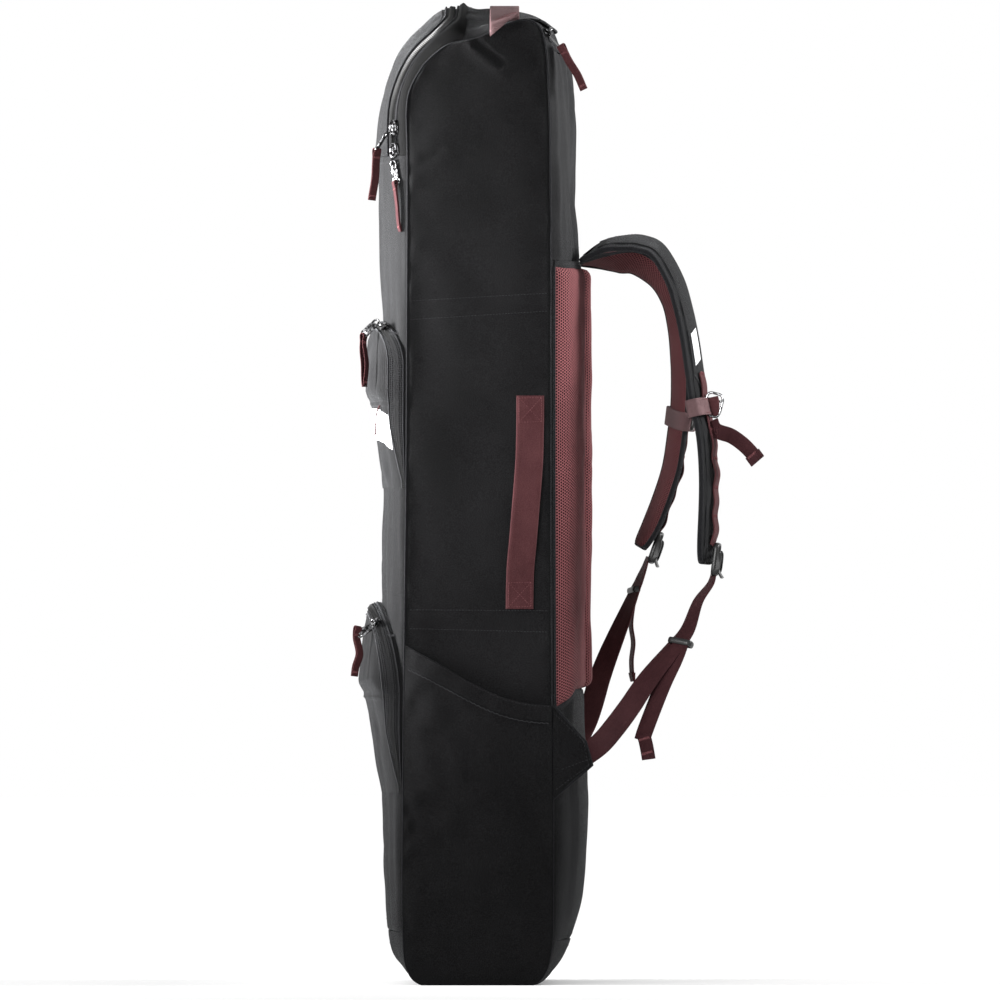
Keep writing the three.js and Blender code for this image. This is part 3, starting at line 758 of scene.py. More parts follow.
# ---- the lid and its zip ------------------------------------------------------------------------
LID_S = np.linspace(LID_HINGE, LID_TOP + 1.6, 500)
LID_REACH = reach_along(body(LID_S, np.full(500, ZIP_X)))
ZIP_CANT = 2.8            # the zip's band is turned outwards: its lid edge stands this much higher
LID_TOP_REACH = float(np.interp(LID_TOP, LID_S, LID_REACH)) - 3.6
LID_CORNER = 26.0         # radius of the zip at the lid's upper corners


def on_lid(reach, x, lift=0.0):
    """A point of the lid's surface: reach is the way up from the hinge line."""
    return body(np.interp(reach, LID_REACH, LID_S), x, lift)


def arch_side(offset, radius=LID_CORNER):
    """The arch's right leg and corner (reach, x), up to where its straight top begins."""
    a = np.linspace(0, pi / 2, 24)
    r = radius + offset
    x, t = ZIP_X + offset, LID_TOP_REACH + offset
    corner = np.stack([t - r + r * np.sin(a), x - r + r * np.cos(a)], 1)
    return np.concatenate([[[0, x]], corner])


def arch(offset, count, radius=LID_CORNER):
    """An arch-shaped line (reach, x), from the right foot over the top to the left foot."""
    right = arch_side(offset, radius)
    return resample(np.concatenate([right, (right * [1, -1])[::-1]]), count)


def between(inner, outer, columns):
    """A grid whose rows run from one line to another."""
    t = np.linspace(0, 1, columns)[None, :, None]
    return inner[:, None] * (1 - t) + outer[:, None] * t


def add_lid():
    rows, columns = 80, 61
    half = resample(arch_side(-6.0), rows)
    reach, width = half[:, 0], half[:, 1]
    q = np.linspace(-1, 1, columns)
    points = on_lid(reach[:, None] * np.ones(columns), width[:, None] * q[None])
    lift = 0.8 * ripple(points, 130, 21) + 0.3 * ripple(points, 40, 22)
    rim = np.minimum((1 - np.abs(q))[None] * width[:, None], (reach[-1] - reach)[:, None])
    rim = np.minimum(rim, reach[:, None])
    lift = lift * np.clip(rim / 14, 0, 1) - 1.3 * bell(rim, 2.2)
    lift = lift + 0.5 * bell(rim, 12) * ripple(points, 20, 23) * np.clip(rim / 5, 0, 1)
    lift = lift + ZIP_CANT * bell(rim, 18)
    points = raised(points, lift)
    lid = Piece().shell(points, LOOKS["canvas"], lining=LOOKS["lining"])
    lid.tube(on_lid(*arch(-5.0, 420).T, ZIP_CANT + 0.3), 1.1, LOOKS["binding"])
    seam = arch(-9.0, 420)
    lid.stitches(on_lid(*seam.T, ZIP_CANT + 0.3), lid_normals(seam), LOOKS["thread"])
    lid.build("lid_cloth", "lid", "canvas", ["top_flap"])


def lid_normals(flat):
    return unit(on_lid(*flat.T, 1.0) - on_lid(*flat.T, 0.0))


def add_lid_zip():
    """Each half: its tape, its row of coil, and a dotted row beside it."""
    centre = arch(0.0, 500)
    line = on_lid(*centre.T)
    slope = ZIP_CANT / 4.5
    across = unit(on_lid(*arch(1.0, 500).T, -slope) - on_lid(*arch(-1.0, 500).T, slope))
    up = unit(lid_normals(centre) + across * slope)
    for name, side, owner, node in (("lid_zip_coil", -1, "lid", "main_zip_moving"),
                                    ("gusset_zip_coil", 1, "bag", "main_zip_fixed")):
        low, high = sorted((side * 0.25, side * 6.2))
        flat = between(arch(low, 360), arch(high, 360), 5)
        sunk = np.broadcast_to(np.linspace(-slope * low - 0.6, -slope * high - 0.6, 5), (360, 5))
        piece = Piece().shell(on_lid(flat[..., 0], flat[..., 1], sunk), LOOKS["tape"], 0.7)
        coil(piece, line, across, up, (side,))
        row = arch(side * 4.6, 500)
        piece.stitches(on_lid(*row.T, -slope * side * 4.6), up, LOOKS["deep_canvas"], 2.5,
                       (1.5, 0.55))
        piece.build(name, owner, "zip_coil", [node])


def add_zip_strip():
    """The narrow strip between the lid's zip and the side panels, with a lip over the top."""
    count, columns = 330, 15
    inner = arch(6.0, count)
    outer = arch(19.0, count, radius=14.0)
    outer[:, 1] = np.where(np.abs(outer[:, 1]) > ZIP_X - 2, np.sign(outer[:, 1]) * GUSSET,
                           outer[:, 1] * GUSSET / (ZIP_X - 2))
    t = np.linspace(0, 1, columns)[None]
    flat = between(inner, outer, columns)
    crest = np.clip((flat[..., 0] - 60) / 120, 0, 1)
    lip = 3.8 * crest * bell(t - 0.45, 0.3)
    lip = lip - (ZIP_CANT + 0.2) * (1 - crest * 0.7) * bell(t, 0.45)
    points = on_lid(flat[..., 0], flat[..., 1], lip)
    points[..., 2] += 0.5 * ripple(points, 36, 31) * crest
    normals = surface_normals(points)
    # painted shade: the strip is the same black canvas, given the near-black copy for the shade in
    # its fold
    strip = Piece().shell(points, LOOKS["deep_canvas"], lining=LOOKS["lining"])
    strip.tube(points[:, 0] + normals[:, 0] * 0.2, 1.1, LOOKS["binding"])
    strip.stitches(points[:, 3] + normals[:, 3] * 0.3, normals[:, 3], LOOKS["thread"])
    strip.build("zip_gusset_strip", "bag", "canvas")


def add_top():
    """The top, from the lid's strip to the back, with a sag behind the lid."""
    start = float(np.interp(LID_TOP_REACH + 17.0, LID_REACH, LID_S))
    rows = np.linspace(start, TOP_BACK - 0.004, 70)
    points = body(rows[:, None], widths(PANEL_COLUMNS)[None])
    points = quilt(points, 33, 1.2, 0.8)
    sag = bell(points[..., 1] + 4, 10) * np.clip(1 - np.abs(points[..., 0]) / 150, 0.2, 1)
    points[..., 2] -= 2.0 * sag
    points = raised(points, ripple(points, 60, 35) * seam_fade(points, 9))
    top = Piece().shell(points, LOOKS["canvas"], lining=LOOKS["lining"])
    top.build("top_cloth", "bag", "canvas", ["top_gusset"])


def add_back_zip_flap():
    t = np.linspace(0, 1, 24)[:, None]
    flap = body(14.5 + 0.78 * t, np.linspace(-139, 139, 80)[None], 0.6 + 4.2 * t ** 2)
    flap[..., 2] += 0.5 * ripple(flap, 34, 37) * t
    rain = Piece().shell(flap, LOOKS["canvas"], 1.6)
    rain.tube(flap[-1], 1.1, LOOKS["binding"])
    rain.stitches(flap[-4] + [0, 0, 0.3], (0, 0.2, 1), LOOKS["thread"])
    rain.build("back_zip_flap", "bag", "canvas")


# ---- zip coils ----------------------------------------------------------------------------------
def coil(piece, centre, across, up, sides=(-1, 1), pitch=2.1, reach=3.3):
    """The ribs of a zip's coil along a line; each side is one half of the zip."""
    count = int(length_of(centre) / pitch)
    line = np.hstack([centre, np.broadcast_to(across, centre.shape),
                      np.broadcast_to(up, centre.shape)])
    for side in sides:
        spots = resample(line, count * 2 + 1)[(0 if side < 0 else 1)::2]
        for spot in spots:
            out = unit(spot[3:6]) * side
            top = unit(spot[6:9])
            along = np.cross(out, top)
            verts = []
            for far, tall in ((-0.5, 1.4), (0.5, 1.8), (reach - 0.8, 1.8), (reach, 0.9)):
                for t in np.linspace(0, pi, 5):
                    verts.append(spot[:3] + out * far + along * 0.56 * np.cos(t)
                                 + top * tall * np.sin(t))
            faces = [[0, 1, 2, 3, 4], [19, 18, 17, 16, 15]]
            for r in range(3):
                faces += [[r * 5 + c, r * 5 + 5 + c, r * 5 + 6 + c, r * 5 + 1 + c]
                          for c in range(4)]
                faces.append([r * 5 + 4, r * 5 + 9, r * 5 + 5, r * 5])
            piece.add(verts, faces, [[(0.0, 0.0)] * len(f) for f in faces], LOOKS["coil"])


# ---- front pockets ------------------------------------------------------------------------------
FRONT_S = np.linspace(FRONT_FOOT, LID_HINGE, 400)
FRONT_Z = outline(FRONT_S, 2)[:, 1]


def on_front(z, x, lift=0.0):
    return body(np.interp(z, FRONT_Z, FRONT_S), x, lift)


class Pocket:
    """A pocket across the whole front: its rim goes up both side seams and arches over the top."""

    def __init__(self, foot, side, top, power, depths, wall, seed):
        self.foot, self.side, self.top, self.power = foot, side, top, power
        self.depths, self.wall, self.seed = np.array(depths, float), wall, seed
        a = np.linspace(0, pi, 400)
        x = GUSSET * signed_power(np.cos(a), 2 / power)
        z = side + (top - side) * np.sin(a) ** (2 / power)
        self.rim = resample(np.stack([np.r_[foot, z, foot], np.r_[GUSSET, x, -GUSSET]], 1), 260)
        middle = np.minimum(self.rim[:, 0], side + 0.25 * (top - side))
        self.heart = np.stack([middle, np.zeros(len(middle))], 1)
        self.run_out = np.clip((self.rim[:, 0] - foot) / 70, 0.12, 1) ** 0.8

    def surface(self, shares, lift=0.0):
        """Points on each ray from the rim (share 0) to the middle (share 1)."""
        ray = (self.heart - self.rim)[:, None]
        flat = self.rim[:, None] + ray * shares[..., None]
        return self.place(flat, np.linalg.norm(ray, axis=-1) * shares, lift)

    def place(self, flat, off_rim, lift=0.0):
        z, x = flat[..., 0], flat[..., 1]
        radius, power = self.wall
        rise = (1 - (1 - np.minimum(off_rim / radius, 1)) ** power) ** (1 / power)
        stand = np.interp(z, *self.depths.T) * rise
        soft = np.clip((off_rim - 16) / 20, 0, 1)
        spot = np.stack([x, z * 0.25, z * 0], -1)
        stand = stand + soft * (0.8 * ripple(spot, 42, self.seed)
                                + 0.6 * ripple(np.stack([x, z, z * 0], -1), 40, self.seed + 1))
        return on_front(z, x, np.maximum(stand, 0) + 0.8 + lift)

    def shares_at(self, *distances):
        """Shares at which each ray is the given distances from the rim, along the surface."""
        fine = np.linspace(0, 1, 300) ** 1.6
        points = self.surface(np.broadcast_to(fine, (len(self.rim), 300)))
        reach = np.cumsum(np.linalg.norm(np.diff(points, axis=1), axis=2), axis=1)
        reach = np.hstack([np.zeros((len(reach), 1)), reach])
        near = np.array(distances)
        return np.array([np.interp(near * narrow, row, fine)
                         for narrow, row in zip(self.run_out, reach)])

    def line(self, distance, lift):
        return self.surface(self.shares_at(distance), lift)[:, 0]


def add_pocket(name, pocket, zip_at, tape_half, seam):
    """One pocket, its zip at a distance from the rim and a sewn seam across it at a height."""
    low, high = zip_at - tape_half, zip_at + tape_half
    inner = pocket.shares_at(high)
    shell = Piece()
    wall = pocket.surface(pocket.shares_at(*np.linspace(0, low, 4)))
    shell.shell(wall[:, ::-1], LOOKS["canvas"], 1.6)
    face = pocket.surface(inner + (1 - inner) * np.linspace(0, 1, 70)[None] ** 0.85)
    face = raised(face, -1.6 * bell(face[..., 2] - seam, 2.0))
    shell.shell(face[:, ::-1], LOOKS["canvas"], 1.8, LOOKS["lining"])
    # the rolled edge takes the lighter piping cloth: painted highlight
    shell.tube(pocket.line(high + 0.6, 0.5), 1.0, LOOKS["highlit_piping"])
    shell.tube(pocket.line(low - 0.4, 0.4), 0.9, LOOKS["binding"])
    normals = unit(pocket.line(high + 3.5, 1.5) - pocket.line(high + 3.5, 0.5))
    shell.stitches(pocket.line(high + 3.4, 0.25), normals, LOOKS["thread"])
    for side in (-1, 1):
        xs = np.linspace(-132, 132, 120)
        flat = np.stack([np.full(120, seam + side * 3.0), xs], 1)
        row = pocket.place(flat, GUSSET - np.abs(xs), STITCH_LIFT)
        up = pocket.place(flat, GUSSET - np.abs(xs), 1 + STITCH_LIFT) - row
        shell.stitches(row, up, LOOKS["thread"])
    shell.build(name + "_shell", "bag", "canvas", [name])

    band = Piece()
    tape = pocket.surface(pocket.shares_at(*np.linspace(low, high, 7)), 0.15)
    band.shell(tape[:, ::-1], LOOKS["tape"], 0.8)
    centre = pocket.line(zip_at, 0.1)
    up = unit(pocket.line(zip_at, 1.1) - centre)
    across = unit(pocket.line(zip_at + 1, 0.1) - pocket.line(zip_at - 1, 0.1))
    coil(band, centre, across, up)
    for off in (-6.5, -4.1, 4.1, 6.5):
        row = pocket.line(zip_at + off, 0.3)
        band.stitches(row, up, LOOKS["deep_canvas"], 2.5, (1.5, 0.62))
    band.build(name + "_zip_band", "bag", "zip_coil", [name + "_zip"])


def add_pockets():
    upper = Pocket(557, 695, 745, 3.4, [(557, 0), (611, 7.6), (647, 13.4), (653, 13.8), (660, 18),
                                        (667, 20.2), (695, 19.4), (721, 16.5), (745, 13)],
                   (24, 2.0), 61)
    lower = Pocket(215, 325, 429, 2.8, [(215, 0), (240, 4), (274, 8.3), (306, 13), (320, 16),
                                        (328, 18), (337, 23.5), (342, 24.6), (362, 22.4),
                                        (390, 18.5), (413, 16), (430, 14)], (22, 3.0), 71)
    add_pocket("upper_pocket", upper, 12, 9.0, 652)
    add_pocket("lower_pocket", lower, 13.5, 9.5, 323)
    add_patch(upper)
    add_bar_tacks()


PATCH_HALF = 131.5


def add_patch(pocket):
    x = np.linspace(-PATCH_HALF, PATCH_HALF, 90)
    t = np.linspace(0, 1, 12)[:, None]
    q = np.abs(x) / PATCH_HALF
    z = 611 + 36 * t - 11 * q[None] ** 5 + 3 * t * q[None] ** 3
    x = np.broadcast_to(x, z.shape)
    points = pocket.place(np.stack([z, x], -1), GUSSET - np.abs(x), 0.75)
    patch = Piece().shell(points, LOOKS["film"], 0.7)
    for k in (0, -1):
        row = points[k] * 0.94 + points[6] * 0.06
        patch.stitches(row, surface_normals(points)[6], LOOKS["thread"], 3.0, (2.0, 0.28))
    patch.build("reflective_panel", "bag", "reflective_panel", ["reflective_patch"])
    for side in (-1, 1):
        tab = Piece()
        start = pocket.place(np.array([[650.0, side * 112]]), np.array([31.6]), 1.5)[0]
        path = spline([start, start + [0, -3.5, -8], start + [0, -4.5, -20],
                       start + [0, -4.8, -33]], 14)
        tab.sweep(path, (1, 0, 0), band_section(6, 1.6), LOOKS["webbing"])
        tab.build("seam_tab_" + ("right" if side > 0 else "left"), "bag", "webbing")


def bar_tack(piece, centre, along, normal, length, look, width=1.7):
    """A dense zigzag of thread."""
    centre, along, normal = np.array(centre, float), unit(along), np.array(normal, float)
    side = np.cross(unit(normal), along)
    count = max(4, int(length / 0.55))
    for k in range(count):
        at = centre + along * ((k + 0.5) / count - 0.5) * length
        lean = unit(side + along * (0.22 if k % 2 else -0.22))
        piece.spindle(at, lean, normal, width, 0.36, look)


def add_bar_tacks():
    """One at each end of the pockets' zips."""
    tacks = Piece()
    for side in (-1, 1):
        for x, y, z in ((131, -92.6, 731), (128, -97.5, 392)):
            # the tacks take the lighter piping cloth: painted highlight
            bar_tack(tacks, (side * x, y, z), (-side * 0.3, -1, 0), (side, -0.3, 0.3), 8,
                     LOOKS["highlit_piping"])
    tacks.build("pocket_bar_tacks", "bag", "canvas")


# ---- sleeves and wings --------------------------------------------------------------------------
def sleeve_points(side, us, vs, lift):
    """Points of the sleeve's outside: us runs from its foot to its hem, vs from front to back."""
    top = 381 - 67 * vs - 12 * np.sin(pi * vs) + 3 * np.sin(2 * pi * vs)
    z = 1.6 + (top - 1.6) * us
    front = outline(np.linspace(0, 5, 300), 0)
    back = outline(np.linspace(26, 20, 300), 0)
    y_front = np.interp(z, front[:, 1], front[:, 0]) + 0.6
    y_back = np.interp(z, back[:, 1], back[:, 0]) - 0.6
    y = y_front * (1 - vs) + y_back * vs
    bulge = 9.0 * (1 - (2 * vs - 1) ** 4) * np.sin(pi / 2 * us ** 0.8)
    spot = np.stack([z * 0, y, z], -1)
    bulge = bulge + (1.1 * ripple(spot, 120, 81) + 0.35 * ripple(spot, 40, 82)) \
        * np.clip(np.minimum(vs, 1 - vs) * 14, 0, 1) * np.clip(us * 10, 0, 1)
    gather = bell(np.minimum(vs, 1 - vs) * 160, 20) * ripple(spot, 24, 83)
    bulge = bulge + 0.45 * gather * np.clip(np.minimum(vs, 1 - vs) * 40, 0, 1)
    seat = HALF_WIDTH + 1.6
    return np.stack([side * (seat + np.maximum(bulge, 0) + lift), y, z], -1)


def add_sleeve(name, side, node):
    """A side sleeve with a doubled hem: a zigzag of thread below it and a plain row on it."""
    us, vs = np.meshgrid(np.linspace(0, 1, 120), np.linspace(0, 1, 64), indexing="ij")
    if side < 0:
        vs = vs[:, ::-1]
    face = sleeve_points(side, us, vs, 0)
    piece = Piece().shell(face, LOOKS["canvas"], 1.6, LOOKS["lining"])
    hem_us = 1 - (1 - us) * 0.062
    hem = sleeve_points(side, hem_us, vs, 1.0)
    hem[..., 0] -= side * 0.6 * bell(np.minimum(1 - us, us) * 21, 1.2)
    piece.shell(hem[::4], LOOKS["canvas"], 1.6)

    v = np.linspace(0.02, 0.98, 150)
    low, high = (sleeve_points(side, np.full(150, 1 - share), v, 0.7) for share in (0.066, 0.006))
    spots = resample(low, 62)
    for k in range(61):
        lean = unit(unit(spots[k + 1] - spots[k]) + np.array([0, 0, 0.55 if k % 2 else -0.55]))
        piece.spindle((spots[k] + spots[k + 1]) / 2, lean, np.array([side, 0, 0.0]), 1.6, 0.5,
                      LOOKS["thread"])
    piece.stitches(high, (side, 0, 0), LOOKS["thread"])
    piece.build(name, "bag", "canvas", [node])


def add_wing(name, side, node):
    """A folded triangle of cloth that the lower webbing is sewn into."""
    t = np.linspace(0, 1, 26)[:, None, None]
    q = np.linspace(0, 1, 26)[None, :, None]
    root = np.array([84.2, 314]) * (1 - q) + np.array([84.2, 209]) * q
    tip = np.array([120.5, 273]) * (1 - q) + np.array([128, 247]) * q
    yz = root * (1 - t) + tip * t
    thick = 2.0 * np.sin(pi * np.clip(q, 0.02, 0.98)) ** 0.5 * (1 - 0.35 * t)
    x = 144.0 + thick[..., 0] + 0.35 * ripple(np.dstack([yz[..., 0], yz[..., 1], yz[..., 0] * 0]),
                                              22, 91)
    front = np.stack([side * x, yz[..., 0], yz[..., 1]], -1)
    back = np.stack([side * (288 - x - 2.6), yz[..., 0], yz[..., 1]], -1)
    piece = Piece()
    piece.grid(front, LOOKS["canvas"], flip=side < 0).grid(back, LOOKS["canvas"], flip=side > 0)
    rim = np.vstack([front[:, 0], front[-1, 1:], front[::-1, -1][1:]])
    rim[:, 0] = side * GUSSET
    piece.tube(rim, 1.5, LOOKS["binding"])
    for row in (front[2:-2, 2], front[2:-2, -3], front[6:, 18], front[-3, 2:-2]):
        piece.stitches(row + [side * STITCH_LIFT, 0, 0], (side, 0, 0), LOOKS["thread"])
    piece.build(name, "bag", "canvas", [node])


# ---- back pads and yoke -------------------------------------------------------------------------
def back_station(z):
    line = outline(np.linspace(TOP_BACK, BACK_FOOT, 600), 2)
    return np.interp(-z, -line[:, 1], np.linspace(TOP_BACK, BACK_FOOT, 600))


def add_back_pad(name, low, high, thick, round_low, round_high, foot, node, seed):
    """A crowned mesh pad from x = low to high, with sides pulled in to its seams."""
    rows, columns = 150, 64
    q = np.linspace(0, 1, columns)
    x = low + (high - low) * (q - 0.5 * np.sin(2 * pi * q) / pi * 0.75)
    x = np.broadcast_to(x, (rows, columns))
    bottom = foot(np.abs(x))
    r = np.linspace(0, 1, rows)[:, None]
    z = 806 + (bottom - 806) * r
    off = np.minimum(806 - z, z - bottom)

    def rounded(distance, radius):
        return (1 - (1 - np.clip(distance / radius, 0, 1)) ** 2.4) ** 0.5

    puff = rounded(x - low, round_low) * rounded(high - x, round_high) * rounded(off, 14)
    lift = 1.2 + thick * puff
    spot = np.stack([x, z, z * 0], -1)
    lift = lift + puff * (0.7 * ripple(spot, 90, seed) + 0.3 * ripple(spot, 36, seed + 1))
    points = body(back_station(z), x, lift)
    under = body(back_station(z), x, 0.5)
    piece = Piece().grid(points, LOOKS["spacer"]).grid(under, LOOKS["lining"], flip=True)
    for a, b in ((points[:, 0], under[:, 0]), (points[:, -1], under[:, -1]),
                 (points[0], under[0]), (points[-1], under[-1])):
        piece.grid(np.stack([a, b], 1), LOOKS["binding"])
    for line in (points[:, 0], points[:, -1]):
        piece.tube(line, 1.3, LOOKS["binding"])
    obj = piece.build(name, "bag", "spacer_mesh", [node])


def slanted(x):
    """Height of the outer pads' foot."""
    return np.interp(x, [100, 143], [331, 316])


def level(x):
    """Height of the middle pad's foot."""
    return np.full_like(x, 331.0)


def add_back_pads():
    add_back_pad("mesh_pad_right", 41.5, 142.6, 9.5, 9, 26, slanted, "back_pad_right", 101)
    add_back_pad("mesh_pad_centre", -40, 40, 14.5, 12, 12, level, "back_pad_centre", 103)
    add_back_pad("mesh_pad_left", -142.6, -41.5, 9.5, 26, 9, slanted, "back_pad_left", 105)


def add_yoke():
    """The band that the shoulder straps are sewn into."""
    rows, columns = 12, 90
    x = np.broadcast_to(np.linspace(-142.4, 142.4, columns), (rows, columns))
    t = np.linspace(0, 1, rows)[:, None]
    z = np.broadcast_to(812 - 20 * t, x.shape)
    lift = 2.0 + 3.6 * bell(t - 0.55, 0.6) * np.clip((142.4 - np.abs(x)) / 12, 0, 1)
    points = body(back_station(z), x, lift + 0.25 * ripple(np.stack([x, z, z * 0], -1), 30, 107))
    yoke = Piece().shell(points, LOOKS["canvas"], 1.4)
    for k in (2, 9):
        normal = surface_normals(points)[k]
        yoke.stitches(points[k] + normal * 0.25, normal, LOOKS["thread"])
    yoke.build("yoke_band", "bag", "canvas", ["strap_yoke"])


def add_pad_foot_binding():
    """The binding along the foot of the pads."""
    bound = Piece()
    for side in (-1, 1):
        x = np.linspace(41, 142.8, 60)
        z = slanted(x) - 1.5
        line = body(back_station(z), side * x, 3.2 * np.clip((143 - x) / 14, 0.25, 1))
        bound.sweep(line, (0, -0.2, 1), band_section(8, 2.0), LOOKS["binding"])
    x = np.linspace(-41, 41, 40)
    line = body(back_station(np.full(40, 329.5)), x, 4.2)
    bound.sweep(line, (0, -0.2, 1), band_section(8, 2.0), LOOKS["binding"])
    bound.build("pad_foot_binding", "bag", "canvas")


# ---- sewn webbing and handles -------------------------------------------------------------------
def box_stitch(piece, centre, u, v, width, height, look):
    """A sewn box with a cross in it, in the plane of u and v."""
    centre, u, v = np.array(centre, float), unit(u), unit(v)
    normal = np.cross(u, v)
    a, b = width / 2, height / 2
    corners = [centre + u * p * a + v * q * b for p, q in ((-1, -1), (1, -1), (1, 1), (-1, 1))]
    pairs = [(0, 1), (1, 2), (2, 3), (3, 0), (0, 2), (1, 3)]
    for i, j in pairs:
        line = corners[i] + (corners[j] - corners[i]) * np.linspace(0, 1, 20)[:, None]
        piece.stitches(line, normal, look, 2.7, (2.0, 0.34))


def add_side_handle():
    sewn = HALF_WIDTH + 3.4
    path = spline([(sewn, 58.5, 661), (sewn, 58.5, 645), (sewn + 0.3, 58.4, 629),
                   (sewn + 2.6, 58, 608), (153, 57.2, 585), (153.6, 55, 555), (153.6, 52.5, 525),
                   (153, 50, 495), (sewn + 2.6, 47.8, 472), (sewn + 0.3, 47, 454),
                   (sewn, 46.7, 440), (sewn, 46.5, 422)], 121)
    halves = (("side_handle_upper", path[:61], (0.148, 0.0585, 0.634), (0.153, 0.0572, 0.590), 645),
              ("side_handle_lower", path[60:], (0.148, 0.0468, 0.449), (0.153, 0.050, 0.492), 438))
    nodes = (["side_handle_top_end", "side_handle_grip"], ["side_handle_bottom_end"])
    for (name, line, start, end, box_z), replaced in zip(halves, nodes):
        piece = Piece().sweep(line, (0, 1, 0.04), band_section(31, 2.2, 9), LOOKS["webbing"])
        y = 58.5 if box_z > 500 else 46.7
        box_stitch(piece, (sewn + 1.2, y, box_z), (0, 1, 0.02), (0, 0, 1), 25, 27,
                   LOOKS["maroon_thread"])
        obj = piece.build(name, "side_handle", "webbing", replaced, ride=False)
        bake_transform(obj)


def add_top_handle():
    lift = 1.7
    s = LID_TOP + 1.8

    def over(x, extra):
        p = body(s, x, lift + extra)
        return (x, 29.7, p[2] + 0.4)

    right = [(146.8, 29.7, 1077), (146.7, 29.7, 1080), (144.2, 29.7, 1083.5), over(138, 1.4),
             over(130, 1.4), over(118, 2), over(95, 3.4), over(55, 4.2), over(0, 4.4)]
    half = spline(right, 70)
    for name, side, replaced in (("top_handle_right", 1, ["top_handle_right_end"]),
                                 ("top_handle_left", -1, ["top_handle_left_end",
                                                          "top_handle_grip"])):
        line = half * [side, 1, 1]
        piece = Piece().sweep(line, (0, 1, 0), band_section(33, 2.0, 9), LOOKS["light_webbing"])
        spot = body(s, 131, lift + 3.2)
        box_stitch(piece, (side * 130, 29.7, spot[2] + 0.8), (1, 0, -0.25 * side), (0, 1, 0.2), 17,
                   26, LOOKS["maroon_thread"])
        for block in piece.verts:
            drop = np.clip((np.abs(block[:, 0]) - 138) / 7, 0, 1)
            block[:, 2] += 0.42 * (block[:, 1] - 29.7) * drop
        obj = piece.build(name, "top_handle", "light_webbing", replaced, ride=False)
        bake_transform(obj)


# ---- hardware -----------------------------------------------------------------------------------
def plate(piece, centre, u, v, shape, thick, look, bevel=0.35):
    """A flat plate with rounded-over edges; shape is its outline in u and v."""
    centre, u, v = np.array(centre, float), unit(u), unit(v)
    w = np.cross(u, v)
    shape = np.array(shape, float)
    middle = shape.mean(0)
    reach = np.linalg.norm(shape - middle, axis=1).mean()
    rings = []
    for h, shrink in ((0, bevel), (bevel * 0.7, 0), (thick - bevel * 0.7, 0), (thick, bevel)):
        flat = middle + (shape - middle) * (1 - shrink / reach)
        rings.append(centre + flat[:, :1] * u + flat[:, 1:] * v + w * (h - thick / 2))
    rings = np.array(rings)
    piece.capped(rings, shape, look)


def ring(piece, centre, u, v, ru, rv, section, look, power=2.0, count=40):
    """A closed ring in the plane of u and v, round (power 2) or squarer; section is (r, w)."""
    centre, u, v = np.array(centre, float), unit(u), unit(v)
    w = np.cross(u, v)
    a = np.linspace(0, 2 * pi, count + 1)
    c, s = np.cos(a), np.sin(a)
    flat = np.stack([ru * signed_power(c, 2 / power), rv * signed_power(s, 2 / power)], 1)
    flat[-1] = flat[0]
    tangent = np.gradient(flat, axis=0)
    tangent[0] = tangent[-1] = (flat[1] - flat[-2]) / 2
    out = unit(np.stack([tangent[:, 1], -tangent[:, 0]], 1))
    b = np.linspace(0, 2 * pi, 10, endpoint=False)
    rows = []
    for k in range(count + 1):
        radial = out[k, 0] * u + out[k, 1] * v
        rows.append(centre + flat[k, 0] * u + flat[k, 1] * v
                    + (section[0] * np.cos(b))[:, None] * radial
                    + (section[1] * np.sin(b))[:, None] * w)
    piece.grid(np.array(rows), look, wrap=True)


def oval(length, width, power=2.6, count=28):
    a = np.linspace(0, 2 * pi, count, endpoint=False)
    c, s = np.cos(a), np.sin(a)
    return np.stack([length / 2 * signed_power(c, 2 / power),
                     width / 2 * signed_power(s, 2 / power)], 1)


def middle_of(node):
    low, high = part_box(node)
    return (np.array(low) + np.array(high)) * 500


def add_slider(name, owner, node, centre, along, up):
    """A zip slider: two plates on their post, and the bail that the puller hangs from."""
    along = unit(along)
    up = square_to(up, along)
    side = np.cross(up, along)
    piece = Piece()
    shape = oval(17, 10, 3.0)
    shape[:, 1] *= 1 - 0.16 * (shape[:, 0] / 7.5)
    look = LOOKS["dark_metal"]
    plate(piece, centre + up * 2.3, along, side, shape, 1.4, look, 0.5)
    plate(piece, centre - up * 0.9, along, side, shape, 1.2, look, 0.5)
    for q in (-1, 1):
        wall = centre + side * q * 3.6 + up * 0.7 - along * 0.8
        plate(piece, wall, along, up, oval(9, 3.4), 0.9, look, 0.2)
    plate(piece, centre + up * 0.8 + along * 5, along, side, oval(3, 5), 2.6, look, 0.2)
    bail = spline([centre + along * 6.4 + up * 2.6, centre + along * 5.2 + up * 5.6,
                   centre + up * 7.0, centre - along * 4.4 + up * 5.6,
                   centre - along * 5.6 + up * 2.6], 22)
    piece.sweep(bail, side, oval(3.4, 2.0, 2.4, 12), look)
    piece.build(name, owner, "hardware_metal", [node])


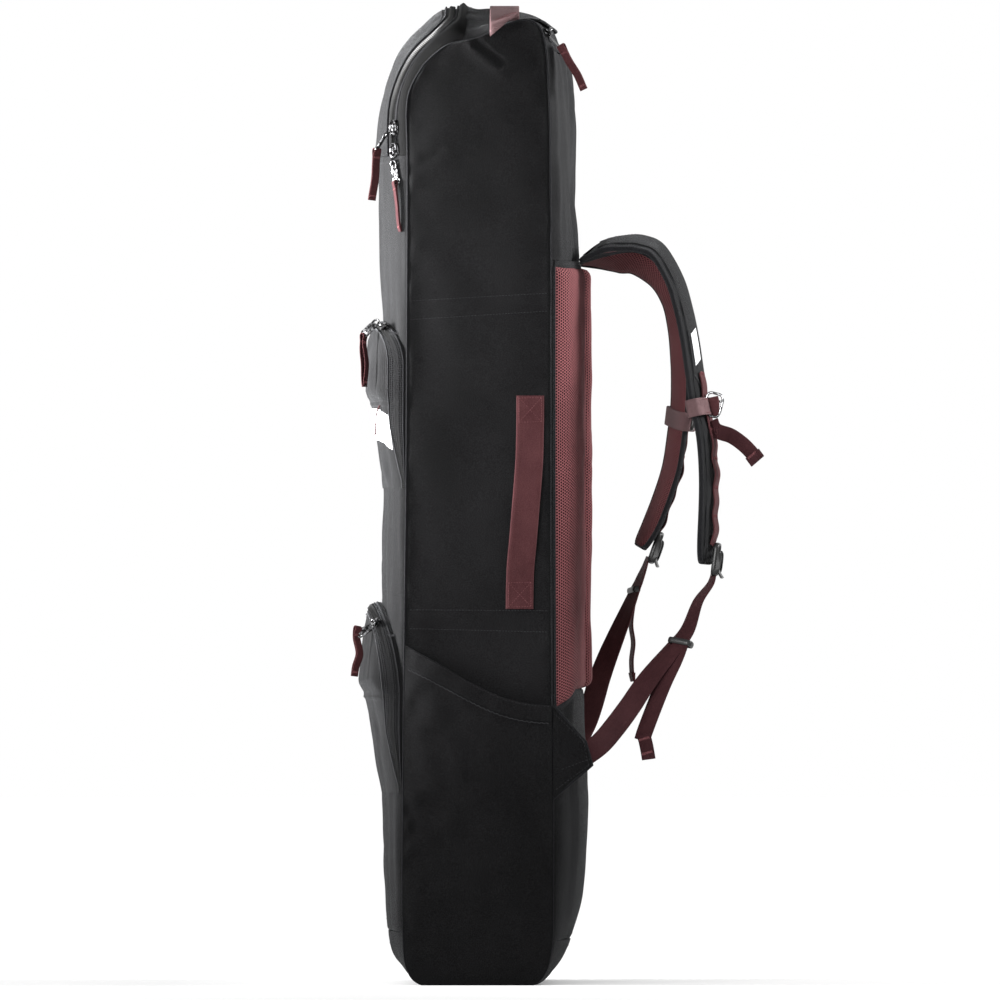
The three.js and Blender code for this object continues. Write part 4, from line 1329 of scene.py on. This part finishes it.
def add_puller(name, owner, node, start, end, across, width=7.6):
    """A link through the bail, a flat metal tab, and the eye that holds the webbing loop."""
    start, end = np.array(start, float), np.array(end, float)
    down = unit(end - start)
    across = square_to(across, down)
    reach = np.linalg.norm(end - start)
    piece = Piece()
    look = LOOKS["metal"]
    ring(piece, start + down * 2.0, down, across, 4.6, 3.3, (1.15, 1.15), LOOKS["dark_metal"])
    tab = oval(reach - 1, width, 4)
    tab[:, 1] *= 1 + 0.10 * (tab[:, 0] / reach)
    normal = np.cross(down, across)
    plate(piece, start + down * (reach / 2 + 1.6), down, across, tab, 1.7, look, 0.5)
    for face in (1, -1):
        plate(piece, start + down * (reach / 2 + 0.4) + normal * face * 0.9, down, across,
              oval(reach * 0.5, 3.8, 3), 0.5, LOOKS["dark_metal"], 0.2)
    ring(piece, end + down * 0.4, across, down, 4.4, 2.6, (0.95, 0.95), look, 3.0)
    piece.build(name, owner, "hardware_metal", [node])


def add_pull_loop(name, owner, node, points, across, width, look="webbing", gape=0.0):
    """A strip of webbing folded through the puller's eye and sewn to itself."""
    line = spline(points, 46)
    along = unit(np.gradient(line, axis=0))
    side = np.array(across, float)
    side = unit(side - (along @ side)[:, None] * along)
    out = np.cross(along, side)
    reach = reach_along(line)
    eye = 1.5 * bell(reach - 1.5, 4.5) + gape * np.sin(pi * reach / reach[-1])
    wave = 0.5 * np.sin(reach / 7.0)
    front = line + out * (0.62 + eye + wave)[:, None]
    back = line + out * (-0.62 - eye + wave)[:, None]
    top = line[:1] - along[:1] * 1.6
    strip = resample(np.vstack([front[::-1], top, back]), 110)
    sides = np.broadcast_to(side[:1], strip.shape)
    piece = Piece().sweep(strip, sides, band_section(width, 1.05), LOOKS[look])
    for q in (0.16, 0.93):
        k = int(q * 45)
        for face in (front[k] + out[k] * 0.6, back[k] - out[k] * 0.6):
            bar_tack(piece, face, side[k], out[k], width * 0.8, LOOKS["maroon_thread"],
                     1.4)
    piece.build(name, owner, "webbing", [node])


def add_lid_zip_hardware():
    """Both sliders of the lid's zip, with their pullers and loops."""
    for name, node in (("a", "main_slider_a"), ("b", "main_slider_b")):
        centre = middle_of(node)
        add_slider("slider_" + name, node, node, centre + [1.5, 1.0, 0], (0, 0, 1), (0.85, -0.6, 0))
    add_puller("puller_a", "main_pull_a", "main_puller_a", (126, -103.5, 954), (127, -113, 938),
               (0.9, -0.35, 0))
    add_pull_loop("zip_loop_a", "main_pull_a", "main_pull_loop_a",
                  [(127, -113.4, 937), (127, -114.5, 920), (127.5, -116, 902), (127, -119, 880)],
                  (0.5, -0.85, 0), 9.5)
    add_puller("puller_b", "main_pull_b", "main_puller_b", (134, -95, 922), (137, -91.5, 902),
               (0.5, 0.85, 0))
    # loop B takes the darker webbing copy: painted shade
    add_pull_loop("zip_loop_b", "main_pull_b", "main_pull_loop_b",
                  [(137, -93.4, 901), (138, -91.5, 882), (138.5, -90.2, 862), (138, -86.8, 845)],
                  (0.9, 0.42, 0), 7.0, "shaded_webbing")


def add_pocket_zip_hardware():
    """The slider, puller and loop of each pocket."""
    for name, drop in (("upper", 4.0), ("lower", 8.5)):
        node = name + "_pocket_slider"
        centre = middle_of(node)
        add_slider(name + "_zip_slider", node, node, centre + [0, 2.0, -drop],
                   (-0.976, -0.218, 0), (0.35, -0.75, 0.56))
    add_puller("upper_zip_puller", "upper_pocket_pull", "upper_pocket_puller", (104, -114, 744),
               (107, -127, 731), (0.5, 0.6, -0.6), 9.8)
    add_pull_loop("upper_zip_loop", "upper_pocket_pull", "upper_pocket_pull_loop",
                  [(107, -128.4, 730), (108, -128.5, 713), (108, -127.4, 694), (108, -127.2, 671)],
                  (0.88, -0.48, 0), 9, "webbing", 2.0)
    add_puller("lower_zip_puller", "lower_pocket_pull", "lower_pocket_puller", (104, -121, 401),
               (107, -133, 394), (0.4, 0.35, -0.85), 9.8)
    add_pull_loop("lower_zip_loop", "lower_pocket_pull", "lower_pocket_pull_loop",
                  [(107, -135.0, 401), (108, -136.2, 390), (108, -133.4, 372), (108, -137.0, 358),
                   (108, -138.6, 346)], (0.6, -0.8, 0), 9, "webbing", 0.6)


def add_back_zip_hardware():
    """The slider and the loop at the end of the back's zip."""
    centre = middle_of("back_zip_slider")
    add_slider("back_slider", "bag", "back_zip_slider", centre, (-1, 0, 0), (0, 0.6, 0.8))
    add_pull_loop("back_zip_loop", "back_zip_pull", "back_zip_pull_loop",
                  [(137, 93, 1053), (137, 97, 1046), (137, 103, 1034), (137, 112, 1019),
                   (137, 119, 1004)], (0.5, 0.8, 0.3), 9.5)


def add_back_zip():
    """A short zip across the top of the back, between two welts."""
    x = np.linspace(-136, 136, 160)
    s = TOP_BACK - 0.25
    centre = body(np.full(160, s), x, 0.2)
    up = unit(body(np.full(160, s), x, 1.2) - centre)
    across = unit(body(np.full(160, s + 0.02), x) - body(np.full(160, s - 0.02), x))
    piece = Piece()
    for q in (-1, 1):
        piece.tube(centre + across * q * 5.2 + up * 0.2, 1.3, LOOKS["binding"])
        piece.stitches(centre + across * q * 8.6 + up * 0.4, up, LOOKS["thread"])
    coil(piece, centre, across, up)
    rows = np.linspace(TOP_BACK - 0.3, TOP_BACK + 0.2, 10)[:, None]
    facing = body(rows, 0.985 * widths(60)[None], -3.4)
    piece.shell(facing, LOOKS["lining"], 0.8)
    piece.build("back_zip", "bag", "zip_coil")


# ---- harness ------------------------------------------------------------------------------------
RIGHT_STRAP = [(118, 816), (141, 829), (165, 833), (184, 832), (203, 822), (221, 791), (231, 758),
               (238, 724), (243, 690), (248, 655), (256, 615), (259, 570), (258, 520), (255, 474)]
LEFT_STRAP = [(118, 813), (145, 815), (165, 815), (184, 811), (207, 794), (221, 770), (227, 740),
              (229, 705), (229, 655), (225, 618), (219, 580), (208, 545), (196, 515), (184, 492)]
STRAP_TILT = 0.27         # lean of the pads' faces, in radians
STRAP_HALF = 32.0         # half the width of a pad
STRAP_SPOTS = 240         # points on a strap's centre line
OVERLAY_POINT_Z = 668     # height of the overlay's pointed end


class Strap:
    """A shoulder pad's centre line; at() places points on it by share, width and height."""

    def __init__(self, side, points):
        self.side = side
        f = np.linspace(0, 1, len(points))
        x = side * (50 + 40 * np.sin(pi / 2 * f) ** 1.3)
        yz = np.array(points, float)
        self.line = spline(np.column_stack([x, yz]), STRAP_SPOTS)
        self.along = unit(np.gradient(self.line, axis=0))
        k = np.linspace(0, 1, STRAP_SPOTS)
        lean = STRAP_TILT * np.interp(k, [0, 0.16, 0.3, 0.45], [0.1, 1, 1, 1])
        if side < 0:
            lean = STRAP_TILT * np.interp(k, [0, 0.12, 0.3, 0.5], [0.2, 1.5, 1.4, 1])
        flat = unit(np.array([1.0, 0, 0]) - self.along[:, :1] * self.along)
        outward = np.cross(flat, self.along)
        self.across = (np.cos(lean)[:, None] * flat - side * np.sin(lean)[:, None] * outward)
        self.out = np.cross(self.across, self.along)
        self.length = length_of(self.line)

    def at(self, share, width, height):
        """A point at a share of the length, width across it and height out of its face."""
        share, width, height = np.broadcast_arrays(share, width, height)
        k = np.linspace(0, 1, STRAP_SPOTS)

        def pick(table):
            return np.stack([np.interp(share, k, table[:, c]) for c in range(3)], -1)

        return (pick(self.line) + pick(self.across) * width[..., None]
                + pick(self.out) * height[..., None])

    def taper(self, share):
        """The pad narrows to a rounded end above its buckle."""
        end = np.clip((1 - share) * self.length / 42, 0, 1)
        return 0.52 + 0.48 * np.sqrt(1 - (1 - end) ** 2)

    def share_at(self, z):
        low = np.argmin(np.abs(self.line[60:, 2] - z)) + 60
        return low / (STRAP_SPOTS - 1)


def outer_height(q):
    return 1.9 + 3.9 * (1 - np.abs(q) ** 2.6)


def add_shoulder_pad(strap, name, owner, node, seed):
    rows, columns = 150, 28
    share = np.linspace(0.0, 1.0, rows)[:, None]
    q = np.sin(np.linspace(-pi / 2, pi / 2, columns))[None]
    width = q * (STRAP_HALF - 1.5) * strap.taper(share)
    root = np.clip(share * strap.length / 30, 0.35, 1)
    spot = np.stack(np.broadcast_arrays(share * strap.length, width, width * 0), -1)
    quilting = 0.45 * ripple(spot * [1, 0.4, 0], 26, seed) + 0.3 * ripple(spot, 60, seed + 1)
    soft = quilting * (1 - np.abs(q) ** 4)
    outer = strap.at(share, width, outer_height(q) * root + soft)
    inner = strap.at(share, width, -(2.3 + 4.1 * (1 - np.abs(q) ** 3)) * root - 0.6 * soft)
    piece = Piece()
    piece.grid(outer, LOOKS["canvas"]).grid(inner, LOOKS["spacer"], flip=True)
    for end in (-1, 1):
        edge = end * (STRAP_HALF - 1.2) * strap.taper(share[:, 0])
        path = strap.at(share[:, 0], edge, -0.2)
        piece.sweep(path, strap.at(share[:, 0], edge + 1, -0.2) - path,
                    np.array([(2.3 * np.cos(a), 3.1 * np.sin(a))
                              for a in np.linspace(0, 2 * pi, 12, endpoint=False)]),
                    LOOKS["binding"])
        run = np.linspace(0.05, 0.96, 200)
        line = strap.at(run, end * 24.0 * strap.taper(run), outer_height(0.8) + 0.3)
        piece.tube(line, 0.8, LOOKS["binding"], 6)
    tip = strap.at(1.0, np.linspace(-1, 1, 20) * STRAP_HALF * 0.5, 0)
    piece.sweep(tip, strap.out[-1], oval(7.5, 5.0, 2.2, 12), LOOKS["binding"])
    root_line = strap.at(0.0, np.linspace(-1, 1, 20) * (STRAP_HALF - 2), 0)
    piece.sweep(root_line, strap.out[0], oval(5.0, 5.0, 2.2, 12), LOOKS["binding"])
    obj = piece.build(name, owner, "canvas", [node], ride=False)
    root, free = strap.line[0] / 1000, strap.line[24] / 1000
    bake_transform(obj)


def add_strap_overlay(strap, name, owner, point):
    """The overlay with its pointed end, and the pale stripe on it."""
    rows, columns = 60, 20
    q = np.linspace(-1, 1, columns)[None]
    r = np.linspace(0, 1, rows)[:, None]
    share = 0.07 + (point - 0.07 - 0.035 * np.abs(q)) * r
    overlay = strap.at(share, q * 22, outer_height(q * 0.7) + 0.8)
    piece = Piece().shell(overlay, LOOKS["canvas"], 1.2)
    # the overlay's edge takes the lighter piping cloth: painted highlight
    piece.tube(overlay[-1], 0.8, LOOKS["highlit_piping"], 6)
    for column in (1, -2):
        piece.stitches(overlay[2:-2, column], strap.out[100], LOOKS["thread"])
    piece.build(name + "_overlay", owner, "canvas")

    a, b = strap.share_at(732), strap.share_at(697)
    share = np.linspace(a, b, 14)[:, None] + 0.01 * q[:, ::2]
    offset = q[:, ::2] * 12 + 5 * strap.side
    stripe = strap.at(share, offset, outer_height(offset / 44) + 1.5)
    Piece().shell(stripe, LOOKS["film"], 0.6).build(name + "_stripe", owner, "reflective_panel")


def add_strap_rail(strap, name, owner, point, band_z):
    """The rail of webbing below the overlay, flat under the sternum band and tacked down."""
    start, end = point - 0.04, 0.955
    t = np.linspace(0, 1, 150)
    share = start + (end - start) * t
    flat = 1 - bell((share - strap.share_at(band_z)) * strap.length, 34)
    swell = (2.2 * np.sin(pi * t * 6) ** 2 + 0.6 * np.sin(t * 23)) * flat
    line = strap.at(share, 2.0, 8.4 + swell)
    across = strap.at(share, 3.0, 8.4) - strap.at(share, 2.0, 8.4)
    rail = Piece().sweep(line, across, band_section(20, 1.8, 8), LOOKS["webbing"])
    for k in range(7):
        at = start + (end - start) * k / 6
        spot = strap.at(at, 2.0, 9.6)
        i = int(at * (STRAP_SPOTS - 1))
        bar_tack(rail, spot, strap.across[i], strap.out[i], 15, LOOKS["maroon_thread"])
    rail.build(name + "_rail", owner, "webbing")


def add_sternum(strap, name, owner, node, z, height):
    """The band round the pad that carries one half of the sternum strap."""
    share = strap.share_at(z)
    i = int(share * (STRAP_SPOTS - 1))
    a = np.linspace(0, 2 * pi, 90) + pi
    c, s = np.cos(a), np.sin(a)
    width = 35.5 * signed_power(c, 0.5)
    tall = 1.3 + np.where(s > 0, 11.2, 10.6) * signed_power(s, 0.6)
    path = strap.at(np.full(90, share), width, tall)
    piece = Piece().sweep(path, strap.along[i], band_section(height, 1.7, 8),
                          LOOKS["light_webbing"])
    for q in (-1, 1):
        line = strap.at(np.full(30, share), np.linspace(-28, 28, 30), 13.4) \
            + strap.along[i] * q * (height / 2 - 2.5)
        piece.stitches(line, strap.out[i], LOOKS["maroon_thread"], 2.8)
    piece.build(name, owner, "light_webbing", [node])


def add_sternum_frame():
    """The metal frame on the right band, with webbing wrapped round it."""
    piece = Piece()
    centre = np.array([93.0, 264.0, 651.0])
    u, v = np.array([0.12, 0.95, -0.25]), np.array([0, 0.25, 0.97])
    ring(piece, centre, u, v, 9.5, 13.0, (1.5, 1.5), LOOKS["metal"], 4.0, 56)
    for k in (-0.3, 0.45):
        a, b = centre + v * 12 * k - u * 8.6, centre + v * 12 * k + u * 8.6
        piece.tube(spline([a, (a + b) / 2, b], 8), 1.2, LOOKS["metal"])
    wrap = spline([centre + v * 8 - u * 3 + [1.8, 0, 0], centre + v * 2 + [3.2, 0, 0],
                   centre - v * 6 + u * 2 + [1.8, 0, 0], centre - v * 12 + u * 3], 24)
    piece.sweep(wrap, u, band_section(13, 1.6), LOOKS["webbing"])
    piece.build("sternum_frame_right", "sternum_right", "hardware_metal")


def add_sternum_tail():
    path = spline([(92, 262, 633), (92, 268, 622), (93.5, 284, 616), (95.5, 297, 607),
                   (97, 307, 597), (97.6, 312.5, 589.5)], 60)
    # the tail takes the darker webbing copy: painted shade
    tail = Piece().sweep(path, (0.4, 0.15, 1), band_section(18.5, 1.9, 8), LOOKS["shaded_webbing"])
    fold_path = spline([path[-8] + [2.2, 0, 0], path[-3] + [2.6, 0, 0], path[-1] + [1.2, 1.2, -1.6],
                        path[-3] + [-2.4, 0, 0], path[-8] + [-2.2, 0, 0]], 24)
    tail.sweep(fold_path, (0.1, 0.75, 0.66), band_section(18.9, 1.6), LOOKS["shaded_webbing"])
    bar_tack(tail, path[-7] + [3.4, 0, 0], (0, 0.75, 0.66), (1, 0, 0), 14, LOOKS["maroon_thread"])
    tail.build("sternum_strap_tail", "sternum_right", "webbing", ["sternum_tail_right"])


def add_sternum_hook():
    """The moulded hook on the left band."""
    hook = Piece()
    centre = middle_of("sternum_hook_left")
    shift = np.array([-36.0, 241.0, 633.0]) - centre
    centre = centre + shift * [0, 0.6, 0.4]
    ring(hook, centre, (1, 0, 0), (0, 0.2, 1), 8.5, 9.0, (1.9, 2.2), LOOKS["plastic"], 3.6, 44)
    plate(hook, centre + [0, 0.5, 0], (1, 0, 0), (0, 0, 1), oval(11, 15, 3.6), 2.4,
          LOOKS["plastic"], 0.6)
    for z in (-5, 0, 5):
        plate(hook, centre + [0, 2.0, z], (1, 0, 0), (0, 0, 1), oval(9, 1.6, 3), 1.0,
              LOOKS["plastic"], 0.3)
    bar = spline([centre + [-9, 0, 9], centre + [-9, 0, 0], centre + [-9, 0, -9]], 10)
    hook.tube(bar, 1.2, LOOKS["metal"])
    hook.build("sternum_hook", "sternum_left", "buckle_plastic", ["sternum_hook_left"])


def add_ladder_lock(name, owner, node, top, down, out):
    """A moulded buckle: a frame with two slots and bars, cheeks and a thumb lip."""
    down, out = unit(down), unit(out)
    across = np.cross(out, down)
    middle = np.array(top, float) + down * 19
    look = LOOKS["plastic"]
    piece = Piece()
    ring(piece, middle, across, down, 14.6, 17.2, (2.0, 3.2), look, 6.0, 64)
    for off, size in ((-7.5, 1.9), (1.5, 1.6), (10.0, 2.1)):
        a, b = middle + down * off - across * 14, middle + down * off + across * 14
        piece.tube(a + (b - a) * np.linspace(0, 1, 10)[:, None], size, look, 10)
    for q in (-1, 1):
        plate(piece, middle + across * q * 14.8 + out * 2.2 + down * 3, down, out,
              oval(27, 9.5, 3.4), 2.6, look, 0.7)
    lip = spline([middle + down * 10 + out * 3, middle + down * 15 + out * 5.6,
                  middle + down * 20 + out * 9.5], 16)
    piece.sweep(lip, across, oval(26, 2.6, 5, 24), look)
    for k in range(4):
        rib = middle + down * (13.5 + 1.7 * k) + out * (5.7 + 1.15 * k)
        ends = rib[None] + across * np.linspace(-10, 10, 6)[:, None]
        piece.tube(ends, 0.5, look, 6)
    pin = middle[None] + down * 5.5 + out * 3.4 + across * np.linspace(-15, 15, 8)[:, None]
    piece.tube(pin, 1.5, LOOKS["metal"])
    piece.build(name, owner, "buckle_plastic", [node])


def add_keeper(side, centre, across, normal, depth):
    """A rectangular slide that holds two layers of webbing together."""
    across = unit(across)
    piece = Piece()
    ring(piece, centre, across, square_to(normal, across), 13, depth, (1.5, 3.4),
         LOOKS["plastic"], 5.0, 48)
    piece.build("webbing_keeper_" + side, "strap_" + side, "buckle_plastic")


def add_lower_webbing():
    """The webbing from each ladder lock down to the wing at the bag's side."""
    right = [(92, 266, 474), (92, 262, 452), (97, 247, 430), (103, 235, 398), (108, 219, 377),
             (116, 191, 343), (125, 170, 312), (134, 152, 288), (141, 136, 270), (142.4, 114, 254)]
    right_turn = [(1, 0.1, 0), (0.95, 0.4, -0.1), (0.75, 0.6, -0.2), (0.5, 0.75, -0.35),
                  (0.3, 0.8, -0.45), (0.05, 0.78, -0.6), (0, 0.78, -0.62), (0, 0.75, -0.66),
                  (0, 0.62, -0.78), (0, 0.5, -0.86)]
    left = [(-92, 192, 480), (-92, 186, 462), (-98, 177, 440), (-104, 168, 418), (-112, 155, 387),
            (-118, 146, 365), (-126, 137, 340), (-136, 129, 312), (-142, 122, 292),
            (-142.8, 112, 272)]
    left_turn = [(1, 0.1, 0), (0.95, 0.3, -0.1), (0.93, 0.3, -0.15), (0.85, 0.5, -0.25),
                 (0.7, 0.65, -0.3), (0.6, 0.75, -0.3), (0.4, 0.85, -0.3), (0.1, 0.95, -0.3),
                 (0, 0.8, -0.5), (0, 0.7, -0.7)]
    # the right webbing takes the darker webbing copy, painted shade; the left takes the plain
    # webbing
    for side, points, turns, end, look in (
            ("right", right, right_turn, (116, 224, 362), "shaded_webbing"),
            ("left", left, left_turn, (-106, 166, 412), "webbing")):
        fine = spline(points, 150)
        sides = resample(np.array(turns, float), 150)
        piece = Piece().sweep(fine, sides, band_section(25, 1.9, 8), LOOKS[look])
        obj = piece.build("lower_webbing_" + side, "strap_" + side, "webbing",
                          ["harness_webbing_" + side, "anchor_webbing_" + side], ride=False)
        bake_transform(obj)


def add_buckles():
    """The ladder locks, and the slides below them."""
    add_ladder_lock("buckle_right", "strap_right", "ladder_lock_right", (92, 269.5, 496),
                    (0, -0.12, -1), (0.1, 1, -0.1))
    add_ladder_lock("buckle_left", "strap_left", "ladder_lock_left", (-92, 207, 508),
                    (0, -0.35, -1), (0.1, 1, -0.35))
    add_keeper("right", (110, 227.5, 384), (0.35, 0.85, -0.16), (1, -0.3, 0.3), 6.5)
    add_keeper("left", (-98, 176, 442), (0.95, 0.28, 0.1), (0.3, -0.9, 0), 3.6)


def add_right_tail():
    """The loose end of webbing on the right, with a doubled end that is sewn down."""
    path = spline([(112, 229, 388), (115, 221, 366), (118, 208, 338), (120, 196, 308),
                   (119.5, 187, 284), (119, 184, 274)], 60)
    # the right tail takes the darker webbing copy: painted shade
    tail = Piece().sweep(path, (0.45, 0.85, -0.3), band_section(20, 1.8, 8), LOOKS["shaded_webbing"])
    end = spline([(120.4, 185.5, 281), (121, 188, 272), (120, 190, 262), (119.6, 191.5, 253)], 24)
    tail.sweep(end, (0.45, 0.85, 0.25), band_section(17, 3.4, 8), LOOKS["shaded_webbing"])
    for k in (4, 17):
        bar_tack(tail, end[k] + [1.8, -0.6, 0], (0.4, 0.85, 0.25), (0.9, -0.4, 0), 13,
                 LOOKS["maroon_thread"])
    tail.build("tail_right", "webbing_tail_right", "webbing", ["webbing_tail_right"])


def add_left_tail():
    """The loose end of webbing on the left, with a folded end."""
    path = spline([(-112, 177, 440), (-117, 175.5, 426), (-119, 173, 403), (-120, 175.5, 382),
                   (-120, 173.5, 362), (-120, 174.5, 340)], 60)
    tail = Piece().sweep(path, (0.97, 0.2, 0), band_section(20, 1.8, 8), LOOKS["webbing"])
    end = spline([path[-6] + [0, 1.6, 0], path[-1] + [0, 0.6, -2], path[-6] + [0, -1.6, 0]], 16)
    tail.sweep(end, (0.97, 0.2, 0), band_section(19, 1.4, 6), LOOKS["webbing"])
    tail.build("tail_left", "webbing_tail_left", "webbing", ["webbing_tail_left"])


def add_harness():
    for side, name, points, z, height in ((1, "right", RIGHT_STRAP, 647, 20),
                                          (-1, "left", LEFT_STRAP, 636, 21)):
        strap = Strap(side, points)
        owner = "strap_" + name
        add_shoulder_pad(strap, "strap_cushion_" + name, owner, "shoulder_pad_" + name, 121 + side)
        point = strap.share_at(OVERLAY_POINT_Z)
        add_strap_overlay(strap, "strap_" + name, owner, point)
        add_strap_rail(strap, "strap_" + name, owner, point, z)
        add_sternum(strap, "sternum_band_" + name, "sternum_" + name, "sternum_loop_" + name, z,
                    height)
    for part in (add_sternum_frame, add_sternum_tail, add_sternum_hook, add_lower_webbing,
                 add_buckles, add_right_tail, add_left_tail):
        part()


def dress_boards():
    for node in ("base_board", "back_board"):
        bpy.data.objects[node].data.materials.clear()
        bpy.data.objects[node].data.materials.append(LOOKS["board"])


def add_side_panels():
    side_panel("side_cloth_right", 1, 41, "side_panel_right")
    side_panel("side_cloth_left", -1, 51, "side_panel_left")


def add_sleeves_and_wings():
    add_sleeve("sleeve_right", 1, "side_pocket_right")
    add_sleeve("sleeve_left", -1, "side_pocket_left")
    add_wing("wing_right", 1, "strap_wing_right")
    add_wing("wing_left", -1, "strap_wing_left")


for step in (add_camera, add_studio, make_looks, add_body_panels, add_side_panels, add_side_seams,
             add_lid, add_lid_zip, add_zip_strip, add_top, add_back_zip_flap, add_pockets,
             add_sleeves_and_wings, add_back_pads, add_yoke, add_pad_foot_binding, add_side_handle,
             add_top_handle, add_lid_zip_hardware, add_pocket_zip_hardware,
             add_back_zip_hardware, add_back_zip, add_harness, dress_boards):
    step()
